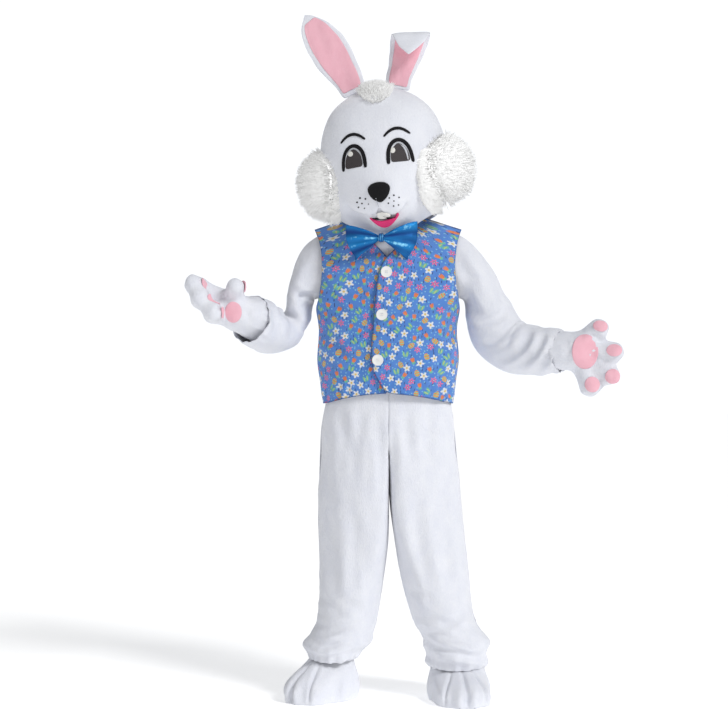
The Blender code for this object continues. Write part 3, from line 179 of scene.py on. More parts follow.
def new_group(name, inputs, outputs):
    tree = bpy.data.node_groups.new(name, "ShaderNodeTree")
    for label, kind, default in inputs:
        socket = tree.interface.new_socket(label, in_out="INPUT", socket_type=kind)
        socket.default_value = default
    for label, kind in outputs:
        tree.interface.new_socket(label, in_out="OUTPUT", socket_type=kind)
    return tree, tree.nodes.new("NodeGroupInput").outputs, tree.nodes.new("NodeGroupOutput").inputs


print("node helpers ready")

# %% [markdown]
# The pile group stretches one noise along the height, because brushed plush lies in fine
# downward streaks, and adds larger soft clumps where the pile has been pressed. It gives a
# colour that turns a little bluer in the clumps, and a height for the bump.

# %% The pile group
FLOAT, COLOUR = "NodeSocketFloat", "NodeSocketColor"
pile, given, out = new_group(
    "pile",
    [
        ("Light", COLOUR, (0.9, 0.9, 0.92, 1)),
        ("Deep", COLOUR, (0.7, 0.72, 0.8, 1)),
        ("Fibre", FLOAT, 420.0),
        ("Clump", FLOAT, 34.0),
    ],
    [("Colour", COLOUR), ("Height", FLOAT)],
)
place = object_place(pile)
fibres = noise(pile, place, given["Fibre"], 3.0, (1, 1, 0.42))
clumps = noise(pile, place, given["Clump"], 3.0, (1, 1, 0.7))
grain = calc(pile, "MULTIPLY", calc(pile, "SUBTRACT", fibres, 0.5), 0.9)
depth = calc(pile, "ADD", calc(pile, "SUBTRACT", clumps, 0.5), grain)
share = calc(pile, "ADD", calc(pile, "MULTIPLY", depth, 0.8), 0.3, clamp=True)
wire(pile, blend_colours(pile, share, given["Light"], given["Deep"]), out["Colour"])
height = calc(pile, "ADD", calc(pile, "MULTIPLY", fibres, 0.55), calc(pile, "MULTIPLY", clumps, 0.8))
wire(pile, height, out["Height"])
print("pile group nodes:", len(pile.nodes))

# %% [markdown]
# Woven cloth shows its threads as a fine grid. Two wave patterns at right angles, read from the
# piece's own cloth coordinates, are enough from a step away, and the same group serves the
# cotton, the shiny bow and the felt, each with its own thread count.

# %% The weave group
weave, given, out = new_group(
    "weave", [("Threads", FLOAT, 900.0), ("Slub", FLOAT, 0.3)], [("Height", FLOAT), ("Worn", FLOAT)]
)
cloth_place = weave.nodes.new("ShaderNodeTexCoord").outputs["UV"]
parts = weave.nodes.new("ShaderNodeSeparateXYZ")
weave.links.new(cloth_place, parts.inputs[0])
waves = []
for way in (0, 1):
    turns = calc(weave, "MULTIPLY", given[0], 6.283)
    waves.append(calc(weave, "SINE", calc(weave, "MULTIPLY", parts.outputs[way], turns)))
uneven = noise(weave, cloth_place, 240.0, 2.0)
threads = calc(weave, "MULTIPLY", *waves)
wire(weave, calc(weave, "ADD", threads, calc(weave, "MULTIPLY", uneven, given[1])), out["Height"])
wire(weave, noise(weave, cloth_place, 18.0, 4.0), out["Worn"])
print("weave group nodes:", len(weave.nodes))

# %% [markdown]
# ## Finishes
# A material starts from one principled shader with its plain values on the shader's own sockets.
# The cloth's sheen is what makes plush look soft at its edges, so the piled cloths have much of
# it and the felt has little.


# %% Material helpers
def plain_material(name, colour, roughness, **values):
    made = bpy.data.materials.new(name)
    made.use_nodes = True
    shader = made.node_tree.nodes["Principled BSDF"]
    shader.inputs["Base Color"].default_value = (*colour, 1)
    shader.inputs["Roughness"].default_value = roughness
    for label, value in values.items():
        shader.inputs[label.replace("_", " ")].default_value = value
    return made, made.node_tree, shader


def use_group(tree, group, **values):
    node = tree.nodes.new("ShaderNodeGroup")
    node.node_tree = group
    for label, value in values.items():
        wire(tree, value, node.inputs[label])
    return node.outputs


def bump(tree, shader, height, distance, strength=1.0):
    node = tree.nodes.new("ShaderNodeBump")
    node.inputs["Distance"].default_value = distance
    node.inputs["Strength"].default_value = strength
    wire(tree, height, node.inputs["Height"])
    wire(tree, node.outputs[0], shader.inputs["Normal"])


def colour_between(tree, shader, share, first, second):
    wire(tree, blend_colours(tree, share, (*first, 1), (*second, 1)), shader.inputs["Base Color"])


def piled(name, light, deep, fibre, clump, lift, sheen=0.5):
    made, tree, shader = plain_material(
        name, light, 0.95, Sheen_Weight=sheen, Sheen_Roughness=0.45, Specular_IOR_Level=0.15
    )
    got = use_group(tree, pile, Light=(*light, 1), Deep=(*deep, 1), Fibre=fibre, Clump=clump)
    wire(tree, got["Colour"], shader.inputs["Base Color"])
    bump(tree, shader, got["Height"], lift)
    return made


PLUSH = piled("plush_white", (0.80, 0.81, 0.85), (0.66, 0.68, 0.77), 330.0, 30.0, 0.0035)
HEAD_PLUSH = piled("plush_head", (0.81, 0.82, 0.86), (0.70, 0.72, 0.80), 380.0, 22.0, 0.0028)
FLEECE = piled("fleece_pink", (0.87, 0.50, 0.57), (0.80, 0.40, 0.48), 600.0, 60.0, 0.0012, 0.35)
NOSE_FELT = piled("felt_nose", (0.008, 0.008, 0.009), (0.016, 0.015, 0.016), 1500.0, 200.0, 0.0006, 0.1)
LIP_FELT = piled("felt_lip", (0.83, 0.06, 0.22), (0.66, 0.04, 0.16), 1300.0, 160.0, 0.0004, 0.2)
TOOTH_FELT = piled("felt_tooth", (0.80, 0.79, 0.75), (0.68, 0.66, 0.62), 1200.0, 120.0, 0.0005, 0.2)
SOLE_CLOTH = piled("sole_cloth", (0.30, 0.30, 0.32), (0.20, 0.20, 0.22), 800.0, 90.0, 0.0008, 0.0)
print("finishes so far:", len(bpy.data.materials))

# %% [markdown]
# ## Shells on their solids
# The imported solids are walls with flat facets. A cloth piece is made from such a wall's outer
# face alone: the mesh is copied, its loose triangles are merged, the wall's rim is found, and the
# outer side is kept. Triangles are paired to quads, so that subdivision gives smooth cloth.
# Working from the solid keeps every piece on its place and inside its size.


# %% Keep the outer face of a wall
SIDE_TURN = 1.2  # a sharper turn than this, in radians, is the wall's rim


def linked(name, mesh):
    piece = bpy.data.objects.new(name, mesh)
    bpy.context.scene.collection.objects.link(piece)
    return piece


def centre_of(node):
    low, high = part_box(node)
    return (low + high) / 2


def outer_faces(bm, wall, inside):
    """The faces that have the wall's other side behind them, on the side away from inside."""
    tree = BVHTree.FromBMesh(bm)
    backed = set()
    for face in bm.faces:
        middle = face.calc_center_median()
        start = middle - face.normal * 0.0002
        _, _, _, gap = tree.ray_cast(start, -face.normal, wall * 1.7 + 0.0006)
        if gap is not None:
            backed.add(face)
    groups, seen = [], set()
    for first in bm.faces:
        if first in seen or first not in backed:
            continue
        group, todo = [], [first]
        seen.add(first)
        while todo:
            face = todo.pop()
            group.append(face)
            for edge in face.edges:
                for other in edge.link_faces:
                    if other in seen or other not in backed:
                        continue
                    if face.normal.angle(other.normal, 3.0) < SIDE_TURN:
                        seen.add(other)
                        todo.append(other)
        groups.append(group)
    middle = Vector(inside)

    def facing(group):
        return sum((f.calc_center_median() - middle).dot(f.normal) * f.calc_area() for f in group)

    return max(groups, key=facing)


def piece_from(node, name, wall=None, inside=None, levels=2):
    """A smooth piece on a node's form: its outer side alone where a wall is given, or all of it."""
    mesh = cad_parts[node].data.copy()
    mesh.name = name
    mesh.materials.clear()
    piece = linked(name, mesh)
    bm = bmesh.new()
    bm.from_mesh(mesh)
    bmesh.ops.remove_doubles(bm, verts=bm.verts, dist=0.00003)
    bm.normal_update()
    if wall:
        keep = set(outer_faces(bm, wall, inside or centre_of(node)))
        bmesh.ops.delete(bm, geom=[f for f in bm.faces if f not in keep], context="FACES")
    bmesh.ops.join_triangles(
        bm, faces=bm.faces, angle_face_threshold=1.2, angle_shape_threshold=1.6, cmp_seam=False
    )
    bm.to_mesh(mesh)
    bm.free()
    mesh.shade_smooth()
    if levels:
        subdivide(piece, levels)
    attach(piece, "root")
    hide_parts(node)
    return piece


def use_only(piece):
    bpy.ops.object.select_all(action="DESELECT")
    piece.select_set(True)
    bpy.context.view_layer.objects.active = piece


def apply_step(piece, kind, **values):
    """Gives a piece one modifier and applies it."""
    use_only(piece)
    step = piece.modifiers.new(kind.title(), kind)
    for label, value in values.items():
        setattr(step, label, value)
    bpy.ops.object.modifier_apply(modifier=step.name)


def subdivide(piece, levels):
    apply_step(piece, "SUBSURF", levels=levels, render_levels=levels, boundary_smooth="PRESERVE_CORNERS")


def soften(piece, turns):
    apply_step(piece, "SMOOTH", iterations=turns, factor=0.5)


def thicken(piece, thickness):
    apply_step(piece, "SOLIDIFY", thickness=thickness, offset=-1, use_even_offset=False)
    piece.data.shade_smooth()


print("helpers for shells ready")

# %% [markdown]
# ## Creases
# Cloth that is worn hangs in long soft troughs with a low swell on each side. Every main crease
# is given with its start and end as seen from the front, how far it bows sideways, and
# its depth and width. The same profile is pressed along the surface's own normals, so a crease
# follows the round of a leg or a sleeve.


# %% Crease and surface helpers
def points_of(piece):
    flat = np.empty(len(piece.data.vertices) * 3, np.float32)
    piece.data.vertices.foreach_get("co", flat)
    return flat.reshape(-1, 3).astype(float)


def normals_of(piece):
    return np.array([v.vector for v in piece.data.vertex_normals], float)


def set_points(piece, points):
    piece.data.vertices.foreach_set("co", points.astype(np.float32).ravel())
    piece.data.update()


def push(piece, height):
    """Moves points along their normals, by one height in mm or by one for each point."""
    lift = np.broadcast_to(height, len(piece.data.vertices)) * MM
    set_points(piece, points_of(piece) + normals_of(piece) * lift[:, None])


def crease_height(flat, x0, z0, x1, z1, bow, depth, width):
    """Height of one crease over points seen from the front, in mm; a positive depth is a trough."""
    start, end = np.array((x0, z0), float), np.array((x1, z1), float)
    way = end - start
    aside = np.array((-way[1], way[0])) / max(np.linalg.norm(way), 1e-6)
    t = np.linspace(0, 1, 17)
    line = start + way * t[:, None] + aside * (bow * np.sin(np.pi * t))[:, None]
    best = np.full(len(flat), 1e9)
    place = np.zeros(len(flat))
    for k in range(16):
        a, b = line[k], line[k + 1]
        ab = b - a
        s = np.clip(((flat - a) @ ab) / (ab @ ab), 0, 1)
        d = np.hypot(*(flat - a - s[:, None] * ab).T)
        near = d < best
        best[near] = d[near]
        place[near] = (k + s[near]) / 16
    fade = np.sin(np.pi * np.clip(place, 0.02, 0.98)) ** 0.7
    trough = np.exp(-((best / width) ** 2))
    swell = 0.42 * np.exp(-(((best / width - 1.75) / 0.75) ** 2))
    return -depth * fade * (trough - swell)


RIPPLE_WAVES = 7


def ripple(points, seed, length, height):
    """Low uneven swells all over a cloth, as a sum of long waves in chosen directions; mm."""
    ways = np.random.RandomState(seed)
    total = np.zeros(len(points))
    for _ in range(RIPPLE_WAVES):
        way = ways.normal(size=3)
        way /= np.linalg.norm(way) * length * ways.uniform(0.7, 1.6)
        total += np.sin(points @ way * 2 * math.pi + ways.uniform(0, 6.28))
    return height * total / math.sqrt(RIPPLE_WAVES)


def press(piece, creases, side, seed, swell):
    """Presses creases into the side of a piece that faces the front (-1) or the back (1)."""
    mm = points_of(piece) / MM
    height = np.zeros(len(mm))
    for row in creases:
        height += crease_height(mm[:, [0, 2]], *row)
    faces_it = np.clip(side * normals_of(piece)[:, 1] * 2.5 + 0.7, 0, 1)
    push(piece, height * faces_it + ripple(mm, seed, *swell))


def edge_gaps(piece):
    """How far each point is from the piece's open edges, in mm."""
    uses = {}
    for polygon in piece.data.polygons:
        for key in polygon.edge_keys:
            uses[key] = uses.get(key, 0) + 1
    edge = sorted({v for key, count in uses.items() if count == 1 for v in key})
    points = points_of(piece)
    near = KDTree(len(edge))
    for k, v in enumerate(edge):
        near.insert(points[v], k)
    near.balance()
    return np.array([near.find(Vector(p))[2] for p in points]) / MM


SEAM_DEPTH = 1.6
SEAM_WIDTH = 7.0


def tuck(piece):
    """Draws the cloth in along its sewn edges, as a seam does."""
    uneven = 1 + 0.35 * np.sin(points_of(piece) @ (410, 530, 470))
    push(piece, -SEAM_DEPTH * np.exp(-((edge_gaps(piece) / SEAM_WIDTH) ** 2)) * uneven)


BODY_RADIUS = 0.16


def cloth_map(piece):
    """Lays the cloth flat as a UV map in metres: round the body by angle, and by height."""
    layer = piece.data.uv_layers.new(name="cloth")
    points = points_of(piece)
    u = np.arctan2(points[:, 0], -points[:, 1]) * BODY_RADIUS
    loops = np.empty(len(piece.data.loops), int)
    piece.data.loops.foreach_get("vertex_index", loops)
    flat = np.stack([u[loops], points[loops, 2]], axis=1)
    layer.data.foreach_set("uv", flat.astype(np.float32).ravel())


def paint(piece, material):
    piece.data.materials.clear()
    piece.data.materials.append(material)
    triangles = sum(len(p.vertices) - 2 for p in piece.data.polygons)
    print(piece.name, "-", triangles, "triangles")


print("crease helpers ready")

# %% [markdown]
# ## The jumpsuit
# The suit is cut in four long panels of short plush and two sleeves. The trousers hang in a few
# long soft folds from the hip, drop straight to the shin and slouch in rings over the ankle,
# where the hem is drawn in. The same kinds of fold are set on the back, in other places.

# %% Trouser panels
PLUSH_WALL = 0.003
PLUSH_THICK = 0.0022
# x and height of a crease's start and end, sideways bow, depth, width; all in mm
TROUSER_FRONT = {
    "right": [
        (-150, -520, -118, -700, 10, 6, 17),
        (-70, -520, -96, -760, -8, 5, 16),
        (-28, -560, -16, -820, 6, 5, 14),
        (-196, -610, -150, -860, -14, 5, 20),
        (-120, -790, -92, -1080, 12, 6, 20),
        (-60, -900, -40, -1130, -6, 4, 15),
        (-178, -930, -160, -1130, 8, 5, 18),
        (-222, -1196, -60, -1172, -12, 7, 15),
        (-236, -1238, -80, -1226, -14, 8, 13),
        (-196, -1262, -70, -1206, 10, 5, 10),
        (-248, -1276, -110, -1268, -10, 7, 11),
        (-150, -1110, -60, -1158, 8, 5, 14),
        (-214, -1090, -130, -1150, -6, 4, 13),
    ],
    "left": [
        (58, -520, 84, -700, -10, 6, 16),
        (128, -520, 110, -680, 8, 5, 17),
        (24, -560, 22, -800, -6, 5, 14),
        (196, -600, 158, -860, 14, 5, 20),
        (90, -760, 128, -1080, -12, 7, 20),
        (180, -860, 200, -1100, -8, 5, 18),
        (52, -960, 92, -1150, 6, 4, 15),
        (96, -1160, 262, -1226, 12, 7, 14),
        (110, -1206, 300, -1262, 12, 8, 13),
        (132, -1268, 312, -1296, 8, 6, 11),
        (250, -1130, 150, -1196, 8, 5, 13),
        (128, -1244, 236, -1258, -8, 5, 10),
        (70, -1080, 150, -1128, 6, 4, 13),
    ],
}
TROUSER_BACK = {
    "right": [
        (-40, -560, -110, -720, 14, 7, 16),
        (-150, -540, -170, -760, -8, 5, 18),
        (-30, -700, -96, -742, -10, 8, 12),
        (-100, -800, -120, -1060, 10, 6, 20),
        (-60, -920, -52, -1120, 6, 4, 16),
        (-230, -1180, -66, -1216, 12, 8, 14),
        (-244, -1234, -84, -1252, -12, 7, 12),
        (-200, -1140, -90, -1110, 8, 5, 14),
    ],
    "left": [
        (46, -560, 116, -730, -14, 7, 16),
        (160, -540, 176, -740, 8, 5, 18),
        (34, -700, 100, -746, 10, 8, 12),
        (120, -820, 150, -1080, -10, 6, 20),
        (70, -930, 96, -1130, -6, 4, 16),
        (110, -1190, 288, -1216, 12, 8, 14),
        (126, -1256, 310, -1246, -10, 7, 12),
        (170, -1120, 236, -1160, 8, 5, 13),
    ],
}
# middle of each ankle hem
ANKLES = {"right": (-165, 0, -1300), "left": (219, 0, -1326)}


def gathered(piece, middle, axis, reach=46, folds=17, depth=2.6):
    """Small uneven folds round an opening that is drawn in; axis points out of the opening."""
    points = points_of(piece)
    mm = points / MM
    axis = np.array(axis, float) / np.linalg.norm(axis)
    first = np.cross(axis, (0, 0, 1) if abs(axis[2]) < 0.9 else (0, 1, 0))
    first /= np.linalg.norm(first)
    second = np.cross(axis, first)
    away = mm - np.array(middle, float)
    turn = np.arctan2(away @ second, away @ first)
    along_axis = -(away @ axis)
    strength = np.exp(-((along_axis / reach) ** 2))
    wave = np.sin(folds * turn + 1.7 * np.sin(3 * turn)) * (0.7 + 0.3 * np.sin(5 * turn + 1))
    push(piece, strength * wave * depth)


# the neck facing that shows under the bow, in mm
NECK_SEAM = 4
FACING_FOOT = -140
FACING_HEIGHT = 82
FACING_RISE = 36


def raise_facing(piece):
    """Draws a front panel's neck up under the bow, and closes it at the middle seam."""
    points = points_of(piece)
    mm = points / MM
    off = mm[:, 0] - NECK_SEAM
    rise = np.clip((mm[:, 2] - FACING_FOOT) / FACING_HEIGHT, 0, 1) ** 2 * np.exp(-((off / 30) ** 2))
    points[:, 2] += FACING_RISE * MM * rise
    points[:, 0] -= 0.93 * off * MM * np.clip(rise * 3, 0, 1) * np.exp(-((off / 22) ** 4))
    set_points(piece, points)


def sew(piece, material):
    """The last steps of a plush panel: its sewn edges, its thickness and its finish."""
    tuck(piece)
    thicken(piece, PLUSH_THICK)
    paint(piece, material)


def trouser(side, where):
    node = f"suit_{where}_{side}"
    sign = 1 if side == "left" else -1
    facing = -1 if where == "front" else 1
    piece = piece_from(node, node + "_cloth", PLUSH_WALL, (sign * 0.1, -facing * -0.03, -0.6), 3)
    creases = (TROUSER_FRONT if where == "front" else TROUSER_BACK)[side]
    if where == "front":
        raise_facing(piece)
    press(piece, creases, facing, seed=3 + 2 * (side == "left") + (where == "back"), swell=(150, 1.3))
    gathered(piece, ANKLES[side], (0, 0, -1))
    sew(piece, PLUSH)
    return piece


suit = {(side, where): trouser(side, where) for side in ("left", "right") for where in ("front", "back")}

# %% [markdown]
# The sleeves are set in at the shoulder and slouch at the elbow and the wrist, where elastic
# draws the plush in under the mitt. Their deepest folds run slantwise over the forearm.

# %% Sleeves
SLEEVE_FRONT = {
    "right": [
        (-196, -30, -236, -150, 10, 5, 16),
        (-262, -60, -296, -170, -8, 5, 16),
        (-214, -190, -268, -198, -8, 10, 9),
        (-300, -166, -236, -232, 12, 6, 12),
        (-316, -230, -262, -300, 10, 7, 13),
        (-352, -214, -330, -318, 12, 8, 12),
        (-392, -196, -372, -318, 8, 7, 11),
        (-420, -200, -408, -306, -6, 6, 9),
        (-250, -262, -210, -318, -8, 6, 12),
    ],
    "left": [
        (214, -30, 262, -150, -10, 5, 16),
        (286, -60, 320, -180, 8, 6, 16),
        (238, -170, 300, -262, -12, 7, 15),
        (262, -268, 372, -226, -14, 8, 13),
        (292, -330, 398, -262, -14, 8, 13),
        (344, -386, 436, -296, -16, 9, 13),
        (398, -404, 474, -298, -12, 9, 12),
        (446, -424, 508, -300, -10, 8, 11),
        (492, -426, 540, -302, -8, 7, 9),
        (330, -150, 356, -250, 8, 5, 14),
    ],
}
SLEEVE_BACK = {
    "right": [
        (-204, -40, -240, -170, -10, 6, 16),
        (-270, -80, -300, -200, 8, 5, 15),
        (-226, -230, -330, -250, 10, 8, 12),
        (-236, -290, -350, -330, 8, 8, 12),
        (-380, -220, -360, -330, -8, 6, 11),
    ],
    "left": [
        (220, -40, 270, -180, 10, 6, 16),
        (300, -90, 340, -220, -8, 5, 15),
        (280, -260, 400, -240, 12, 8, 13),
        (300, -350, 420, -320, 10, 8, 13),
        (420, -390, 480, -300, -8, 7, 12),
        (470, -410, 520, -310, 6, 6, 10),
    ],
}
# middle of each wrist and the way out of the sleeve
WRISTS = {
    "right": ((-408, -132, -262), (-0.6, -0.75, 0.3)),
    "left": ((528, -104, -358), (0.8, -0.58, -0.05)),
}


def sleeve(side):
    node = f"sleeve_{side}"
    piece = piece_from(node, node + "_cloth", PLUSH_WALL, centre_of(node), 3)
    press(piece, SLEEVE_FRONT[side], -1, seed=11 + (side == "left"), swell=(110, 1.6))
    press(piece, SLEEVE_BACK[side], 1, seed=17, swell=(90, 0.3))
    gathered(piece, *WRISTS[side], reach=34, folds=15, depth=2.4)
    sew(piece, PLUSH)
    return piece


sleeves = {side: sleeve(side) for side in ("left", "right")}

# %% [markdown]
# ## The foot covers
# Each foot is a padded plush cover over the wearer's shoe, with three tucks that part four round
# toes. The solid has the toes' outline; here the tucks are drawn deeper over the front of the
# foot, and the sole is a plate of grey non-slip cloth.

# %% Foot covers
# middle of the ankle in mm, and the way that the toes turn in degrees
FEET = {"right": ((-165, 2), -48), "left": ((219, -2), 6)}
TOE_TUCKS = (-33, 0, 33)  # degrees off the toes' middle
TOE_TUCK = 9.0
TOE_TUCK_WIDTH = 7.0


def foot(side):
    (x0, y0), turn = FEET[side]
    node = f"foot_upper_{side}"
    low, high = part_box(node)
    piece = piece_from(node, node + "_cloth", PLUSH_WALL, (x0 * MM, y0 * MM, low.z + 0.03), 3)
    points = points_of(piece)
    mm = points / MM
    yaw = math.radians(turn)
    away = mm[:, :2] - (x0, y0)
    ahead = away @ (math.sin(yaw), -math.cos(yaw))
    aside = away @ (math.cos(yaw), math.sin(yaw))
    up = mm[:, 2] - low.z / MM
    reach = np.clip((ahead - 62) / 50, 0, 1) * np.clip(up / 18, 0, 1)
    press_in = np.zeros(len(points))
    for tuck_turn in TOE_TUCKS:
        line = aside - np.tan(math.radians(tuck_turn)) * ahead * 0.62
        press_in += TOE_TUCK * reach * np.exp(-((line / TOE_TUCK_WIDTH) ** 2))
    out = ripple(mm, 23 + (side == "left"), 70, 1.4) * np.clip(up / 25, 0, 1)
    moved = points + normals_of(piece) * ((out - press_in) * MM)[:, None]
    moved[:, 2] = np.maximum(moved[:, 2], low.z)
    set_points(piece, moved)
    thicken(piece, PLUSH_THICK)
    paint(piece, PLUSH)
    sole = piece_from(f"foot_sole_{side}", f"foot_sole_{side}_plate", levels=0)
    apply_step(sole, "BEVEL", width=0.0012, segments=2, limit_method="ANGLE")
    paint(sole, SOLE_CLOTH)
    return piece, sole


feet = {side: foot(side) for side in ("left", "right")}

# %% [markdown]
# ## The mitts
# The mitts have a thumb and three padded fingers, each a round lobe, with pink pads sewn on the
# palm side. The lobes are already in the solids; smoothing takes their facets away, and a few
# short creases gather where the fingers bend.

# %% Mitts and their pads
MITT_CREASES = {
    "left": [
        (600, -306, 640, -330, 6, 5, 8),
        (636, -350, 622, -392, -6, 5, 8),
        (600, -414, 640, -404, 6, 4, 8),
        (520, -306, 536, -400, 10, 5, 9),
        (552, -312, 560, -330, 4, 3, 8),
    ],
    "right": [
        (-430, -200, -412, -300, 10, 5, 9),
        (-500, -210, -470, -200, 6, 4, 7),
        (-500, -240, -470, -236, 6, 4, 7),
    ],
}
# middle of each mitt's opening and the way out of it
MITT_MOUTHS = {
    "left": ((512, -96, -357), (-0.85, 0.53, 0)),
    "right": ((-392, -112, -262), (0.72, 0.68, -0.1)),
}


def mitt(side):
    node = f"mitt_{side}"
    piece = piece_from(node, node + "_cloth", PLUSH_WALL, centre_of(node), 2)
    soften(piece, 5)
    push(piece, 1.2)  # smoothing has drawn it in
    press(piece, MITT_CREASES[side], -1, seed=31, swell=(60, 1.1))
    gathered(piece, *MITT_MOUTHS[side], reach=20, folds=13, depth=1.6)
    thicken(piece, PLUSH_THICK)
    paint(piece, PLUSH)
    pads = []
    for label in ("palm_pad", "thumb_pad", "finger_pad_1", "finger_pad_2", "finger_pad_3"):
        pad = piece_from(f"{label}_{side}", f"{label}_{side}_fleece")
        push(pad, 1.4)
        paint(pad, FLEECE)
        pads.append(pad)
    return piece, pads


mitts = {side: mitt(side) for side in ("left", "right")}

# %% [markdown]
# ## The waistcoat's print
# The cotton carries a small scattered print. A Voronoi pattern gives each motif its own cell,
# with a middle and two random numbers: one picks the motif, the other turns it. Every motif is a
# plain formula in the cell's own coordinates: petals are a cosine round the middle, an oval is a
# squashed circle, a tulip is an oval with a notched top. The cells are 28.5 mm apart, and the
# numbers in the motifs are metres. The rows of motifs are turned against the cloth's grain.

# %% Print motifs
CELL = 0.0285
LAYOUT_TURN = 0.5
INK = {
    "ground": (0.10, 0.31, 0.82),
    "shade": (0.06, 0.20, 0.62),
    "white": (0.84, 0.85, 0.86),
    "pink": (0.86, 0.16, 0.36),
    "orange": (0.86, 0.22, 0.05),
    "yellow": (0.84, 0.60, 0.16),
    "green": (0.16, 0.58, 0.34),
    "sky": (0.27, 0.62, 0.80),
    "navy": (0.03, 0.06, 0.22),
}


def below(tree, value, limit, edge=0.0005):
    """A mask: 1 where value is under limit, with a narrow soft edge."""
    share = calc(tree, "DIVIDE", calc(tree, "SUBTRACT", limit, value), edge)
    return calc(tree, "ADD", share, 0.5, clamp=True)


def petals(tree, angle, count, size, depth):
    wave = calc(tree, "COSINE", calc(tree, "MULTIPLY", angle, float(count)))
    return calc(tree, "ADD", calc(tree, "MULTIPLY", wave, size * depth), size * (1 - depth))


def oval(tree, x, y, half_x, half_y):
    sides = [calc(tree, "POWER", calc(tree, "DIVIDE", v, h), 2.0) for v, h in ((x, half_x), (y, half_y))]
    return calc(tree, "ADD", *sides)


def pick(tree, value, low, high):
    over, under = calc(tree, "GREATER_THAN", value, low), calc(tree, "LESS_THAN", value, high)
    return calc(tree, "MULTIPLY", over, under)


def scattered(tree, place, scale, jitter):
    """Each cell's own x and y in metres, and two random numbers for it."""
    cells = tree.nodes.new("ShaderNodeTexVoronoi")
    cells.voronoi_dimensions = "2D"
    cells.inputs["Scale"].default_value = scale
    cells.inputs["Randomness"].default_value = jitter
    tree.links.new(place, cells.inputs["Vector"])
    own = tree.nodes.new("ShaderNodeVectorMath")
    own.operation = "SUBTRACT"
    tree.links.new(place, own.inputs[0])
    tree.links.new(cells.outputs["Position"], own.inputs[1])
    chance = tree.nodes.new("ShaderNodeSeparateColor")
    tree.links.new(cells.outputs["Color"], chance.inputs[0])
    return own.outputs[0], chance.outputs[0], chance.outputs[1]


def turned(tree, vector, angle):
    node = tree.nodes.new("ShaderNodeVectorRotate")
    node.rotation_type = "Z_AXIS"
    tree.links.new(vector, node.inputs["Vector"])
    tree.links.new(angle, node.inputs["Angle"])
    split = tree.nodes.new("ShaderNodeSeparateXYZ")
    tree.links.new(node.outputs[0], split.inputs[0])
    return split.outputs[0], split.outputs[1]


def ink(name):
    return (*INK[name], 1)


def store(piece, name, values):
    layer = piece.data.attributes.new(name, "FLOAT", "POINT").data
    layer.foreach_set("value", values.astype(np.float32))


def stored(tree, name):
    node = tree.nodes.new("ShaderNodeAttribute")
    node.attribute_name = name
    return node.outputs["Fac"]


